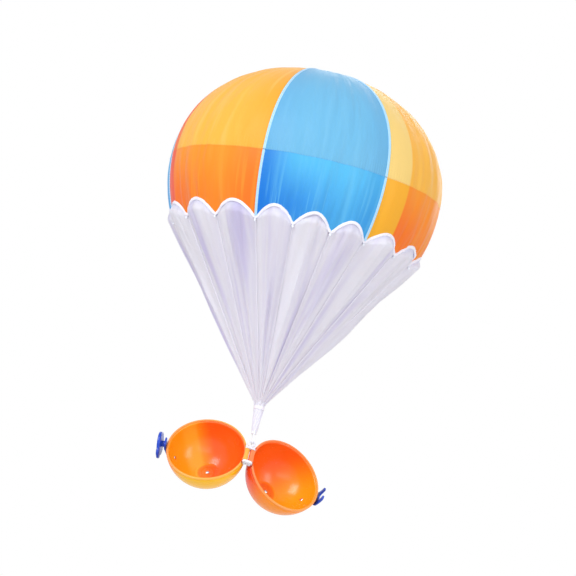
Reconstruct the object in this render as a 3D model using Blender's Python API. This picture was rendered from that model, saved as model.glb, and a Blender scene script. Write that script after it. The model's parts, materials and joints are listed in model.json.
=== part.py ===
"""A toy parachute that packs into a hinged ball, shown open and in flight.

The canopy, its fluted white skirt and its lines hang a two-part plastic ball on a short tether.
Metres, +Z up along the canopy's axis. The origin is the top of the crown patch.
Angles round the canopy are counted from the front (-Y) towards the right (+X).
The ball is built shut, in a frame of its own: x from the hinge towards the latch, y across the
seam, z along the hinge. Each half then turns open about its own hinge pin.
"""
import math

import bmesh
import bpy
from mathutils import Matrix, Vector

# Canopy
widest_radius = 0.127
hem_radius = 0.1125
widest_to_crown = 0.107
hem_to_widest = 0.060
cloth_thickness = 0.0007
crown_hole_radius = 0.014
crown_patch_radius = 0.019
crown_patch_thickness = 0.0008
scallop_rise = 0.0125
binding_radius = 0.0012
seam_gap = 0.0003
dome_side_power = 2.0
dome_top_power = 2.2
puff_share = 0.018
billow_share = 0.022
gore_pairs = 3
scallops_per_gore = 3
blue_gore_angle = math.radians(54)
front_gore_angle = math.radians(7.5)

# Skirt and lines
skirt_drop = 0.1536
skirt_thickness = 0.0006
lobe_rise = 0.0045
lobe_share = 0.05
gather_radius = 0.0034
line_radius = 0.00045
line_gap = 0.0004

# Gather knot and tether
knot_radius = 0.0050
knot_length = 0.0085
wrap_depth = 0.0005
knot_wraps = 4
ball_end_radius = 0.0030
tether_top_radius = 0.0041
tether_low_radius = 0.0022
tether_shoulder = 0.0034
tether_drop = 0.0270
neck_share = 0.8
neck_place_share = 0.6
shoulder_share = 0.9
shoulder_round = 0.0010
loop_wire_radius = 0.0007
loop_slack = 0.0006
loop_half_width = 0.0030
loop_length = 0.0075

# Ball
ball_radius = 0.0375
wall = 0.0025
rim_gap = 0.00015
floor_radius = 0.012
open_angle = math.radians(108)
mean_opening = Vector((0.1516, -0.8271, 0.5414))
across_halves = Vector((0.983, 0.0789, -0.085))

# Hinge
pin_radius = 0.0010
pin_clearance = 0.0003
knuckle_wall = 0.0010
knuckle_gap = 0.0004
knuckle_half_length = 0.0070
link_gap = 0.0003
link_thickness = 0.0022
link_margin = 0.0001
pin_head_radius = 0.0018
pin_head_thickness = 0.0009
pin_blind_depth = 0.0016
relief_clearance = 0.0004
post_radius = 0.0013
post_length = 0.0025
ring_radius = 0.0030
ring_wire_radius = 0.0009

# Strap and latch
strap_thickness = 0.0016
strap_half_width = 0.0035
strap_end_angle = math.radians(98)
strap_tip_place_share = 0.6
strap_tip_width_share = 0.8
strap_tip_end_share = 0.35
latch_tab_reach = 0.0050
latch_stem_radius = 0.0030
latch_stem_clearance = 0.0004
latch_head_radius = 0.0110
latch_head_thickness = 0.0030
latch_head_edge = 0.00075
latch_head_gap = 0.0005
latch_lobe_radius = 0.0062
latch_lobe_offset = 0.0105
latch_ring_radius = 0.0036
latch_ring_wire = 0.0007
fork_gap = 0.0007
fork_half_width = 0.0075
fork_root_half_width = 0.0060
fork_reach = 0.0062
fork_root_angle = math.radians(17)
riser_angle = math.radians(3)
rivet_radius = 0.0010
rivet_clearance = 0.0003
rivet_head_radius = 0.0022
rivet_head_height = 0.0010
rivet_foot_height = 0.0005
rivet_foot_radius = 0.0018
rivet_edge_height = 0.0007
near_rivet_angle = math.radians(30)
far_rivet_angle = math.radians(90)

# Facets
scallop_steps = 4
low_rows = 4
high_rows = 7
skirt_rows = 7
skirt_row_power = 1.3
shell_sides = 28
shell_rings = 7
round_sides = 12
wire_sides = 8
band_step = math.radians(6)
cut_overrun = 0.001

# Worked out from the sizes above
apex_z = -(crown_patch_thickness + seam_gap)
widest_z = apex_z - widest_to_crown
hem_z = widest_z - hem_to_widest
gather_z = hem_z - skirt_drop
dome_height = widest_to_crown + hem_to_widest
orange_gore_angle = 2 * math.pi / gore_pairs - blue_gore_angle
binding_drop = binding_radius + seam_gap
knot_top_z = gather_z - 2 * seam_gap
swing_z = knot_top_z - knot_length
pin_offset = pin_radius + pin_clearance + knuckle_wall + knuckle_gap / 2
knuckle_radius = pin_radius + pin_clearance + knuckle_wall
link_radius = knuckle_radius + link_margin
link_low = knuckle_half_length + link_gap
link_high = link_low + link_thickness
ring_centre = link_high + post_length + ring_radius
eye_height = ring_centre + ring_radius
strap_inner = ball_radius + seam_gap
strap_outer = strap_inner + strap_thickness
fork_inner = strap_outer + fork_gap
fork_outer = fork_inner + strap_thickness
head_base = fork_outer + latch_head_gap
head_top = head_base + latch_head_thickness
floor_depth = math.sqrt((ball_radius - wall) ** 2 - floor_radius ** 2)
facet_share = math.cos(math.pi / shell_sides) * math.cos(math.pi / 4 / (shell_rings - 1))
facet_depth = (ball_radius - wall) * facet_share
swing_point = Vector((0, 0, swing_z))
eye_point = Vector((0, 0, swing_z - tether_drop))


def linear(colour):
    """Turns screen values from 0 to 1 into the linear ones that a shader takes."""
    return tuple(c / 12.92 if c <= 0.04045 else ((c + 0.055) / 1.055) ** 2.4 for c in colour)


def material(name, colour, roughness, metallic=0.0):
    made = bpy.data.materials.new(name)
    made.use_nodes = True
    shader = made.node_tree.nodes["Principled BSDF"]
    shader.inputs["Base Color"].default_value = (*linear(colour), 1)
    shader.inputs["Roughness"].default_value = roughness
    shader.inputs["Metallic"].default_value = metallic
    made.diffuse_color = (*linear(colour), 1)
    return made


def clear_scene():
    for old in list(bpy.data.objects):
        bpy.data.objects.remove(old)


def make_materials():
    return {
        "blue_high": material("blue_cloth_pale", (0.50, 0.79, 0.96), 0.75),
        "blue_low": material("blue_cloth", (0.22, 0.64, 0.93), 0.75),
        "orange_high": material("yellow_cloth", (0.98, 0.75, 0.29), 0.75),
        "orange_low": material("orange_cloth", (0.99, 0.50, 0.20), 0.75),
        "white": material("white_cloth", (0.90, 0.88, 0.95), 0.8),
        "cord": material("white_cord", (0.94, 0.93, 0.96), 0.7),
        "shell": material("orange_plastic", (0.93, 0.30, 0.07), 0.25),
        "strap": material("blue_plastic", (0.04, 0.24, 0.70), 0.3),
        "link": material("white_plastic", (0.92, 0.92, 0.95), 0.35),
        "steel": material("steel", (0.72, 0.73, 0.75), 0.3, 1.0),
    }


def add_object(name, bm, look, parent=None, place=None):
    """Makes a named object of a closed mesh, with its faces turned out."""
    if place is not None:
        bm.transform(place)
    bmesh.ops.recalc_face_normals(bm, faces=bm.faces)
    mesh = bpy.data.meshes.new(name)
    bm.to_mesh(mesh)
    bm.free()
    mesh.materials.append(look)
    mesh.shade_smooth()
    mesh.set_sharp_from_angle(angle=math.radians(35))
    made = bpy.data.objects.new(name, mesh)
    bpy.context.scene.collection.objects.link(made)
    made.parent = parent
    return made


def add_empty(name, place):
    made = bpy.data.objects.new(name, None)
    bpy.context.scene.collection.objects.link(made)
    made.matrix_local = place
    return made


def combine(target, tool, operation):
    """Leaves a Boolean on the target, with its tool hidden from renders."""
    cut = target.modifiers.new(tool.name, "BOOLEAN")
    cut.operation = operation
    cut.solver = "EXACT"
    cut.object = tool
    tool.hide_render = True
    tool.display_type = "WIRE"


def bridge(bm, ring, other, closed=True):
    last = len(ring) if closed else len(ring) - 1
    for i in range(last):
        j = (i + 1) % len(ring)
        bm.faces.new((ring[i], ring[j], other[j], other[i]))


def turned(profile, sides):
    """A solid turned about z from (radius, height) points; a radius of 0 closes it in a point."""
    bm = bmesh.new()
    rings = []
    for radius, height in profile:
        if radius == 0:
            rings.append([bm.verts.new((0, 0, height))])
            continue
        turns = [2 * math.pi * i / sides for i in range(sides)]
        rings.append([bm.verts.new((radius * math.cos(t), radius * math.sin(t), height)) for t in turns])
    for ring, other in zip(rings, rings[1:]):
        if len(ring) == 1 or len(other) == 1:
            fan_between(bm, ring, other)
        else:
            bridge(bm, ring, other)
    return bm


def fan_between(bm, ring, other):
    tip = ring[0] if len(ring) == 1 else other[0]
    rim = other if len(ring) == 1 else ring
    for i in range(len(rim)):
        bm.faces.new((rim[i], rim[(i + 1) % len(rim)], tip))


def arc(radius, start, end, steps, centre=0.0):
    """Profile points along a circle about (0, centre), angles from the equator upwards."""
    angles = [start + (end - start) * i / steps for i in range(steps + 1)]
    return [(radius * math.cos(a), centre + radius * math.sin(a)) for a in angles]


def rod_profile(radius, low, high):
    return [(0, low), (radius, low), (radius, high), (0, high)]


def sheet(rows, thickness):
    """A closed sheet from rows of (outer point, outward normal) pairs."""
    bm = bmesh.new()
    outer = [[bm.verts.new(point) for point, _ in row] for row in rows]
    inner = [[bm.verts.new(point - normal * thickness) for point, normal in row] for row in rows]
    for skin in (outer, inner):
        for row, other in zip(skin, skin[1:]):
            bridge(bm, row, other, closed=False)
    bridge(bm, outer[0], inner[0], closed=False)
    bridge(bm, outer[-1], inner[-1], closed=False)
    bridge(bm, [row[0] for row in outer], [row[0] for row in inner], closed=False)
    bridge(bm, [row[-1] for row in outer], [row[-1] for row in inner], closed=False)
    return bm


def closed_tube(path, outward, radius, sides):
    """A tube round a closed path; outward gives a side direction at each point."""
    bm = bmesh.new()
    rings = []
    for i, point in enumerate(path):
        along = (path[(i + 1) % len(path)] - path[i - 1]).normalized()
        side = (outward[i] - along * outward[i].dot(along)).normalized()
        lift = along.cross(side)
        turns = [2 * math.pi * k / sides for k in range(sides)]
        spokes = [side * math.cos(t) + lift * math.sin(t) for t in turns]
        rings.append([bm.verts.new(point + spoke * radius) for spoke in spokes])
    for i, ring in enumerate(rings):
        bridge(bm, ring, rings[(i + 1) % len(rings)])
    return bm


def flat_prism(outline, low, high):
    bm = bmesh.new()
    bottom = [bm.verts.new((x, y, low)) for x, y in outline]
    top = [bm.verts.new((x, y, high)) for x, y in outline]
    bm.faces.new(bottom)
    bm.faces.new(top)
    bridge(bm, bottom, top)
    return bm


def around(angle, radius, z):
    """A point at an angle round the canopy, from the front towards the right."""
    return Vector((radius * math.sin(angle), -radius * math.cos(angle), z))


def dome_low(height):
    """Radius and outward normal (radial, up) at a height above the hem, under the widest ring."""
    fall = (hem_to_widest - height) / hem_to_widest
    flare = widest_radius - hem_radius
    radius = widest_radius - flare * fall ** 2
    slope = 2 * flare * fall / hem_to_widest
    return radius, hem_z + height, Vector((1, -slope)).normalized()


def dome_high(turn):
    """The same above the widest ring, where turn runs from 0 there to a quarter turn at the apex."""
    across = math.cos(turn) ** (2 / dome_side_power)
    rise = math.sin(turn) ** (2 / dome_top_power)
    radial = dome_side_power * across ** (dome_side_power - 1) / widest_radius
    upward = dome_top_power * rise ** (dome_top_power - 1) / widest_to_crown
    z = widest_z + widest_to_crown * rise
    return widest_radius * across, z, Vector((radial, upward)).normalized()


def fullness(share_across, share_up):
    """How far the cloth stands out of the plain dome: gores puff, and the hem billows."""
    in_scallop = share_across * scallops_per_gore % 1
    puff = puff_share * math.sin(math.pi * share_across) * math.sin(math.pi * share_up)
    billow = billow_share * math.sin(math.pi * in_scallop) * (1 - share_up) ** 2
    return 1 + puff + billow


def dome_pair(place, start, width, share_across, inset):
    """A point of the canopy's outside and its normal, kept half a seam from its neighbours."""
    radius, z, normal = place
    radius *= fullness(share_across, (z - hem_z) / dome_height)
    angle = start + width * share_across + inset * seam_gap / 2 / radius
    return around(angle, radius, z), around(angle, normal.x, normal.y)


def scallop_height(share_across):
    return scallop_rise * math.sin(math.pi * (share_across * scallops_per_gore % 1))


def gore_columns():
    """Shares across a gore, each with which way its seam edge is drawn in."""
    steps = scallops_per_gore * scallop_steps
    return [(i / steps, (i == 0) - (i == steps)) for i in range(steps + 1)]


def low_gore(name, start, width, look):
    top = hem_to_widest - seam_gap / 2
    rows = []
    for i in range(low_rows + 1):
        up = i / low_rows
        row = []
        for share, inset in gore_columns():
            height = scallop_height(share) * (1 - up) + top * up
            row.append(dome_pair(dome_low(height), start, width, share, inset))
        rows.append(row)
    add_object(name, sheet(rows, cloth_thickness), look)


def high_gore(name, start, width, look):
    first = math.asin((seam_gap / 2 / widest_to_crown) ** (dome_top_power / 2))
    last = math.acos((crown_hole_radius / widest_radius) ** (dome_side_power / 2))
    rows = []
    for i in range(high_rows + 1):
        place = dome_high(first + (last - first) * i / high_rows)
        rows.append([dome_pair(place, start, width, share, inset) for share, inset in gore_columns()])
    add_object(name, sheet(rows, cloth_thickness), look)


def gore_layout():
    """Start angle, width and colour of each gore, going round from the front blue one."""
    start = front_gore_angle - blue_gore_angle / 2
    layout = []
    for _ in range(gore_pairs):
        layout.append((start, blue_gore_angle, "blue"))
        layout.append((start + blue_gore_angle, orange_gore_angle, "orange"))
        start += blue_gore_angle + orange_gore_angle
    return layout


def make_canopy(looks):
    for number, (start, width, colour) in enumerate(gore_layout(), 1):
        low_gore(f"gore_lower_{number}", start, width, looks[colour + "_low"])
        high_gore(f"gore_upper_{number}", start, width, looks[colour + "_high"])


def make_crown_patch(look):
    """A round patch over the hole where the gores meet, following the dome."""
    steps = 3
    top = []
    for i in range(steps + 1):
        radius = crown_patch_radius * i / steps
        rise = (1 - (radius / widest_radius) ** dome_side_power) ** (1 / dome_top_power)
        top.append((radius, (rise - 1) * widest_to_crown))
    under = [(radius, z - crown_patch_thickness) for radius, z in reversed(top)]
    add_object("crown_patch", turned(top + under, 2 * round_sides), look)


def binding_point(start, width, share):
    """Centre of the hem's binding under the cloth's edge, square to that edge."""
    in_scallop = share * scallops_per_gore % 1
    radius, z, _ = dome_low(scallop_height(share))
    radius *= fullness(share, (z - hem_z) / dome_height)
    pitch = radius * width / scallops_per_gore
    slope = scallop_rise * math.pi * math.cos(math.pi * in_scallop) / pitch
    steep = math.sqrt(1 + slope ** 2)
    if in_scallop == 0:
        return around(start + width * share, radius, z - binding_drop * steep)
    shift = binding_drop * slope / steep / radius
    return around(start + width * share + shift, radius, z - binding_drop / steep)


def make_hem_binding(look):
    path = []
    for start, width, _ in gore_layout():
        for share, _ in gore_columns()[:-1]:
            path.append(binding_point(start, width, share))
    add_object("hem_binding", closed_tube(path, path_outward(path), binding_radius, wire_sides - 2), look)


def cusp_drop(width):
    """How far under the hem's level the skirt starts at a cusp, clear of the binding."""
    pitch = hem_radius * width / scallops_per_gore
    steep = math.sqrt(1 + (scallop_rise * math.pi / pitch) ** 2)
    return binding_drop * steep + binding_radius + seam_gap


def valley_radius(z):
    """Radius of the skirt's valleys, a straight cone from the hem to the gather."""
    down = min(max((hem_z - z) / skirt_drop, 0), 1)
    return hem_radius + (gather_radius - hem_radius) * down


def skirt_normal():
    return Vector((skirt_drop, gather_radius - hem_radius)).normalized()


def make_skirt(looks):
    for number, (start, width, _) in enumerate(gore_layout(), 1):
        rows = [skirt_row(start, width, i / skirt_rows) for i in range(skirt_rows + 1)]
        add_object(f"skirt_panel_{number}", sheet(rows, skirt_thickness), looks["white"])


def skirt_row(start, width, share_down):
    down = share_down ** skirt_row_power
    normal = skirt_normal()
    row = []
    for share, inset in gore_columns():
        bulge = math.sin(math.pi * (share * scallops_per_gore % 1))
        top = hem_z - cusp_drop(width) + lobe_rise * bulge
        z = top * (1 - down) + gather_z * down
        radius = valley_radius(z) * (1 + lobe_share * bulge)
        angle = start + width * share + inset * seam_gap / 2 / radius
        row.append((around(angle, radius, z), around(angle, normal.x, normal.y)))
    return row


def make_line(name, angle, width, look):
    """A straight line in a valley of the skirt, from a cusp of the hem to the gather knot."""
    normal = skirt_normal() * (line_radius + line_gap)
    top_z = hem_z - cusp_drop(width) + line_radius
    low_z = knot_top_z + seam_gap + line_radius
    top = around(angle, valley_radius(top_z) + normal.x, top_z)
    low = around(angle, valley_radius(low_z) + normal.x, low_z)
    curve = bpy.data.curves.new(name, "CURVE")
    curve.dimensions = "3D"
    curve.bevel_depth = line_radius
    curve.bevel_resolution = 2
    curve.use_fill_caps = True
    spline = curve.splines.new("POLY")
    spline.points.add(1)
    spline.points[0].co = (*low, 1)
    spline.points[1].co = (*top, 1)
    curve.materials.append(look)
    made = bpy.data.objects.new(name, curve)
    bpy.context.scene.collection.objects.link(made)


def make_lines(look):
    number = 0
    for start, width, _ in gore_layout():
        for i in range(scallops_per_gore):
            number += 1
            make_line(f"line_{number:02d}", start + width * i / scallops_per_gore, width, look)


def make_gather_knot(look):
    """Whipped cord round the gathered lines, with a round socket under it for the tether."""
    pitch = knot_length / knot_wraps
    side = []
    for i in range(knot_wraps):
        high = knot_top_z - pitch * i
        side += [(knot_radius - wrap_depth, high), (knot_radius, high - pitch / 2)]
    side.append((knot_radius - wrap_depth, swing_z))
    socket_radius = ball_end_radius + seam_gap
    socket = arc(socket_radius, 0, math.pi / 2, 4, centre=swing_z)
    profile = [(0, knot_top_z)] + side + socket[:-1] + [(0, swing_z + socket_radius)]
    add_object("gather_knot", turned(profile, 2 * round_sides), look)


def tether_profile():
    """From the ball end in the knot's socket, over a shoulder, down to the loop."""
    neck = ball_end_radius * neck_share
    low = -(tether_drop - loop_length)
    end = arc(ball_end_radius, math.pi / 2, -math.acos(neck_share), 6)
    body = [(tether_top_radius * shoulder_share, -tether_shoulder)]
    body += [(tether_top_radius, -tether_shoulder - shoulder_round)]
    body += [(neck, low * neck_place_share), (tether_low_radius, low), (0, low - tether_low_radius)]
    return [(0, ball_end_radius)] + end[1:] + body


def loop_path():
    """An upright loop that hangs the ball's ring, its foot a little slack under the ring's wire."""
    low_centre = loop_half_width - ring_wire_radius - loop_slack - loop_wire_radius
    sideways = Vector((-across_halves.y, across_halves.x, 0)).normalized()
    steps = 8
    path = []
    for end, height in ((-1, low_centre), (1, low_centre + loop_length)):
        for i in range(steps + 1):
            turn = math.pi * i / steps
            aside = sideways * (end * loop_half_width * math.cos(turn))
            up = Vector((0, 0, height + end * loop_half_width * math.sin(turn)))
            path.append(aside + up)
    return path


def make_tether(look, pivot):
    body = add_object("tether", turned(tether_profile(), 2 * round_sides), look, pivot)
    path = [eye_point - swing_point + point for point in loop_path()]
    normal = Vector((across_halves.x, across_halves.y, 0))
    loop = closed_tube(path, [normal] * len(path), loop_wire_radius, wire_sides)
    combine(body, add_object("tether_loop_shape", loop, look, pivot), "UNION")


def hinge_frame():
    """The ball's frame at rest: x to the latch, y from the left half to the right, z up the hinge."""
    x = mean_opening.normalized()
    z = x.cross(across_halves).normalized()
    y = z.cross(x)
    turn = Matrix((x, y, z)).transposed().to_4x4()
    return Matrix.Translation(eye_point - z * eye_height) @ turn


def half_frame(side):
    """One half's hinge pin; in this frame the seam lies towards +y on both halves."""
    flip = Matrix.Identity(4) if side < 0 else Matrix.Rotation(math.pi, 4, "X")
    opened = Matrix.Rotation(-open_angle, 4, "Z")
    return hinge_frame() @ Matrix.Translation((0, side * pin_offset, 0)) @ flip @ opened


ball_centre = Vector((ball_radius, pin_offset, 0))


def along_ray(angle):
    """Turns +z to a ray from the ball's centre, 0 at the latch and a quarter turn at the pole.

    At the latch the turned frame has x across the seam and y up the hinge.
    """
    ray = Vector((math.cos(angle), -math.sin(angle), 0))
    return Matrix.Translation(ball_centre) @ ray.to_track_quat("Z", "Y").to_matrix().to_4x4()


def shell_profile():
    """Half a hollow ball below its rim plane, with a flat round floor moulded inside."""
    inner = ball_radius - wall
    rim_turn = math.asin(rim_gap / ball_radius)
    floor_turn = math.acos(floor_radius / inner)
    outside = arc(ball_radius, -math.pi / 2, -rim_turn, shell_rings)
    inside = arc(inner, -math.asin(rim_gap / inner), -floor_turn, shell_rings - 1)
    return [(0, -ball_radius)] + outside[1:] + inside + [(0, -floor_depth)]


def make_shell(name, look, pivot):
    rim_up = Matrix.Translation(ball_centre) @ Matrix.Rotation(-math.pi / 2, 4, "X")
    shell = add_object(name, turned(shell_profile(), shell_sides), look, pivot, rim_up)
    knuckle = turned(rod_profile(knuckle_radius, -knuckle_half_length, knuckle_half_length), 2 * round_sides)
    combine(shell, add_object(name + "_knuckle", knuckle, look, pivot), "UNION")
    for tool in shell_cutters(name, look, pivot):
        combine(shell, tool, "DIFFERENCE")


def shell_cutters(name, look, pivot):
    """The pin's bore, the notches that the link and its post lie in, and the rivets' holes."""
    bore_end = knuckle_half_length + cut_overrun
    bore = turned(rod_profile(pin_radius + pin_clearance, -bore_end, bore_end), round_sides)
    tools = [add_object(name + "_bore", bore, look, pivot)]
    reach = link_high + post_length + relief_clearance
    for number, side in enumerate((-1, 1), 1):
        ends = sorted((side * knuckle_half_length, side * reach))
        notch = flat_prism(notch_outline(), *ends)
        tools.append(add_object(f"{name}_notch_{number}", notch, look, pivot))
    for number, angle in enumerate((near_rivet_angle, far_rivet_angle), 1):
        hole = turned(rod_profile(rivet_radius + rivet_clearance, floor_depth / 2, strap_outer), round_sides)
        tools.append(add_object(f"{name}_rivet_hole_{number}", hole, look, pivot, along_ray(angle)))
    return tools


def notch_outline():
    """A slot with a round end about the pin, open past the seam."""
    radius = link_radius + relief_clearance
    turns = [math.pi + math.pi * i / round_sides for i in range(round_sides + 1)]
    outline = [(radius * math.cos(t), radius * math.sin(t)) for t in turns]
    return outline + [(radius, pin_offset + cut_overrun), (-radius, pin_offset + cut_overrun)]


def band(stations):
    """A bent strip from (angle, inner radius, outer radius, half width) stations round the ball."""
    bm = bmesh.new()
    rings = []
    for angle, inner, outer, half in stations:
        ray = Vector((math.cos(angle), -math.sin(angle), 0))
        low, high = ball_centre + ray * inner, ball_centre + ray * outer
        edge = Vector((0, 0, half))
        rings.append([bm.verts.new(p) for p in (low - edge, low + edge, high + edge, high - edge)])
    for ring, other in zip(rings, rings[1:]):
        bridge(bm, ring, other)
    bm.faces.new(rings[0])
    bm.faces.new(rings[-1])
    return bm


def band_run(start, end, inner, outer, half):
    steps = max(1, round(abs(end - start) / band_step))
    return [(start + (end - start) * i / steps, inner, outer, half) for i in range(steps + 1)]


def rounded_tip(angle, inner, outer, half, past):
    """Two narrowing stations that round the end of a strip; past is +1 or -1."""
    return [
        (angle + past * half * strap_tip_place_share / outer, inner, outer, half * strap_tip_width_share),
        (angle + past * half / outer, inner, outer, half * strap_tip_end_share),
    ]


def strap_cuts(name, strap, look, pivot):
    for number, angle in enumerate((near_rivet_angle, far_rivet_angle), 1):
        ends = (ball_radius - wall, strap_outer + cut_overrun)
        hole = turned(rod_profile(rivet_radius + rivet_clearance, *ends), round_sides)
        combine(strap, add_object(f"{name}_hole_{number}", hole, look, pivot, along_ray(angle)), "DIFFERENCE")


def make_left_strap(look, pivot):
    """A plain strip from past the seam to past the pole, holed for the latch stem."""
    level = (strap_inner, strap_outer)
    tab_angle = -latch_tab_reach / strap_outer
    run = band_run(strap_end_angle, tab_angle, *level, strap_half_width)
    stations = rounded_tip(strap_end_angle, *level, strap_half_width, 1)[::-1] + run
    wide = latch_stem_radius + latch_stem_clearance + strap_thickness
    stations[-2] = (stations[-2][0], *level, wide)
    stations[-1] = (tab_angle, *level, wide)
    strap = add_object("strap_left", band(stations), look, pivot)
    strap_cuts("strap_left", strap, look, pivot)
    hole_radius = latch_stem_radius + seam_gap
    hole = turned(rod_profile(hole_radius, ball_radius - wall, fork_outer), 2 * round_sides)
    combine(strap, add_object("strap_left_stem_hole", hole, look, pivot, along_ray(0)), "DIFFERENCE")


def make_right_strap(look, pivot):
    """The same strip, raised near the seam into a fork that slides round the latch stem."""
    low, high = (strap_inner, strap_outer), (fork_inner, fork_outer)
    run = band_run(strap_end_angle, fork_root_angle + riser_angle, *low, strap_half_width)
    stations = rounded_tip(strap_end_angle, *low, strap_half_width, 1)[::-1] + run
    stations.append((fork_root_angle, strap_inner, fork_outer, strap_half_width))
    stations.append((fork_root_angle - riser_angle, strap_inner, fork_outer, fork_root_half_width))
    tip = -fork_reach / fork_outer
    stations += band_run(fork_root_angle - 2 * riser_angle, tip, *high, fork_half_width)
    strap = add_object("strap_right", band(stations), look, pivot)
    strap_cuts("strap_right", strap, look, pivot)
    slot = flat_prism(slot_outline(), ball_radius, head_base)
    combine(strap, add_object("strap_right_slot", slot, look, pivot, along_ray(0)), "DIFFERENCE")


def slot_outline():
    """A slot with a round end about the stem, running out past the tines."""
    radius = latch_stem_radius + latch_stem_clearance
    turns = [math.pi / 2 + math.pi * i / round_sides for i in range(round_sides + 1)]
    outline = [(radius * math.cos(t), radius * math.sin(t)) for t in turns]
    reach = fork_reach + cut_overrun
    return outline + [(reach, -radius), (reach, radius)]


def make_latch_button(look, pivot):
    """A round head on a stem, with a lobe along the seam that carries a raised ring."""
    edge = latch_head_edge
    profile = [(0, strap_inner), (latch_stem_radius, strap_inner), (latch_stem_radius, head_base)]
    profile += [(latch_head_radius - edge, head_base), (latch_head_radius, head_base + edge)]
    profile += [(latch_head_radius, head_top - edge), (latch_head_radius - edge, head_top), (0, head_top)]
    ray = along_ray(0)
    button = add_object("latch_button", turned(profile, 2 * round_sides), look, pivot, ray)
    aside = Matrix.Translation((0, -latch_lobe_offset, 0))
    lobe = turned(rod_profile(latch_lobe_radius, head_base, head_top - edge), 2 * round_sides)
    combine(button, add_object("latch_lobe_shape", lobe, look, pivot, ray @ aside), "UNION")
    ring = turned_ring(latch_ring_radius, latch_ring_wire, head_top - edge, 2 * round_sides)
    combine(button, add_object("latch_ring_shape", ring, look, pivot, ray @ aside), "UNION")


def turned_ring(radius, wire, height, sides):
    turns = [2 * math.pi * i / sides for i in range(sides)]
    path = [Vector((radius * math.cos(t), radius * math.sin(t), height)) for t in turns]
    return closed_tube(path, path_outward(path), wire, wire_sides)


def path_outward(path):
    return [Vector((point.x, point.y, 0)) for point in path]


def rivet_profile(inner):
    """A domed head outside, a shank through strap and shell, and a flat set end inside."""
    tail = inner - seam_gap
    base = strap_outer + seam_gap
    dome = [(rivet_head_radius, base), (rivet_foot_radius, base + rivet_edge_height)]
    dome.append((0, base + rivet_head_height))
    foot = [(0, tail - rivet_foot_height), (rivet_foot_radius, tail - rivet_foot_height)]
    foot.append((rivet_foot_radius, tail))
    return foot + [(rivet_radius, tail), (rivet_radius, base)] + dome


def make_rivets(side_name, look, pivot):
    places = (("near", near_rivet_angle, facet_depth), ("far", far_rivet_angle, floor_depth))
    for word, angle, inner in places:
        name = f"rivet_{side_name}_{word}"
        add_object(name, turned(rivet_profile(inner), round_sides), look, pivot, along_ray(angle))


def link_outline():
    """A plate with round ends about the two pins, long across the seam."""
    outline = []
    for side in (1, -1):
        for i in range(round_sides + 1):
            turn = math.pi * i / round_sides
            x, y = link_radius * math.cos(turn) * side, link_radius * math.sin(turn) * side
            outline.append((x, y + side * pin_offset))
    return outline


def cut_pin_holes(plate, name, look, pivot, low, high):
    for number, side in enumerate((-1, 1), 1):
        hole = turned(rod_profile(pin_radius + pin_clearance, low, high), round_sides)
        aside = Matrix.Translation((0, side * pin_offset, 0))
        combine(plate, add_object(f"{name}_hole_{number}", hole, look, pivot, aside), "DIFFERENCE")


def make_links(look, pivot):
    """Two plates that hold the pins a fixed way apart; the upper one carries the tether's ring."""
    upper = add_object("hinge_link_upper", flat_prism(link_outline(), link_low, link_high), look, pivot)
    post_ends = (link_high - link_thickness / 2, ring_centre - ring_radius)
    post = turned(rod_profile(post_radius, *post_ends), round_sides)
    combine(upper, add_object("link_post_shape", post, look, pivot), "UNION")
    steps = 2 * round_sides
    turns = [2 * math.pi * i / steps for i in range(steps)]
    flat = [Vector((0, ring_radius * math.cos(t), ring_radius * math.sin(t))) for t in turns]
    path = [point + Vector((0, 0, ring_centre)) for point in flat]
    ring = closed_tube(path, flat, ring_wire_radius, wire_sides)
    combine(upper, add_object("link_ring_shape", ring, look, pivot), "UNION")
    cut_pin_holes(upper, "link_upper", look, pivot, link_low - cut_overrun, link_low + pin_blind_depth)
    lower = add_object("hinge_link_lower", flat_prism(link_outline(), -link_high, -link_low), look, pivot)
    cut_pin_holes(lower, "link_lower", look, pivot, -link_high - cut_overrun, -link_low + cut_overrun)


def make_pins(look, pivot):
    head = -link_high - link_gap
    tip = link_low + pin_blind_depth - link_gap
    profile = [(0, head - pin_head_thickness), (pin_head_radius, head - pin_head_thickness)]
    profile += [(pin_head_radius, head), (pin_radius, head), (pin_radius, tip), (0, tip)]
    for name, side in (("hinge_pin_left", -1), ("hinge_pin_right", 1)):
        aside = Matrix.Translation((0, side * pin_offset, 0))
        add_object(name, turned(profile, round_sides), look, pivot, aside)


def build():
    clear_scene()
    looks = make_materials()
    make_crown_patch(looks["blue_low"])
    make_canopy(looks)
    make_hem_binding(looks["cord"])
    make_skirt(looks)
    make_lines(looks["cord"])
    make_gather_knot(looks["cord"])
    tether_pivot = add_empty("tether_pivot", Matrix.Translation(swing_point))
    make_tether(looks["cord"], tether_pivot)
    hinge_pivot = add_empty("hinge_pivot", hinge_frame())
    make_links(looks["link"], hinge_pivot)
    make_pins(looks["steel"], hinge_pivot)
    left = add_empty("half_left_pivot", half_frame(-1))
    right = add_empty("half_right_pivot", half_frame(1))
    make_shell("shell_left", looks["shell"], left)
    make_shell("shell_right", looks["shell"], right)
    make_left_strap(looks["strap"], left)
    make_right_strap(looks["strap"], right)
    make_latch_button(looks["strap"], left)
    make_rivets("left", looks["steel"], left)
    make_rivets("right", looks["steel"], right)


build()
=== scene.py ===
# %% [markdown]
# # A toy parachute that packs into a ball
# The real toy is a round cloth canopy with a white fluted skirt under it. Its lines run down to a
# short neck, and the neck holds a plastic ball that has opened into two cups.
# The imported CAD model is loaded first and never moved. Every piece below is made in its frame, in
# metres, with the origin at the crown and +Z up.

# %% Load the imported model
import json
import math

import bmesh
import bpy
from mathutils import Matrix, Vector


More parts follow.
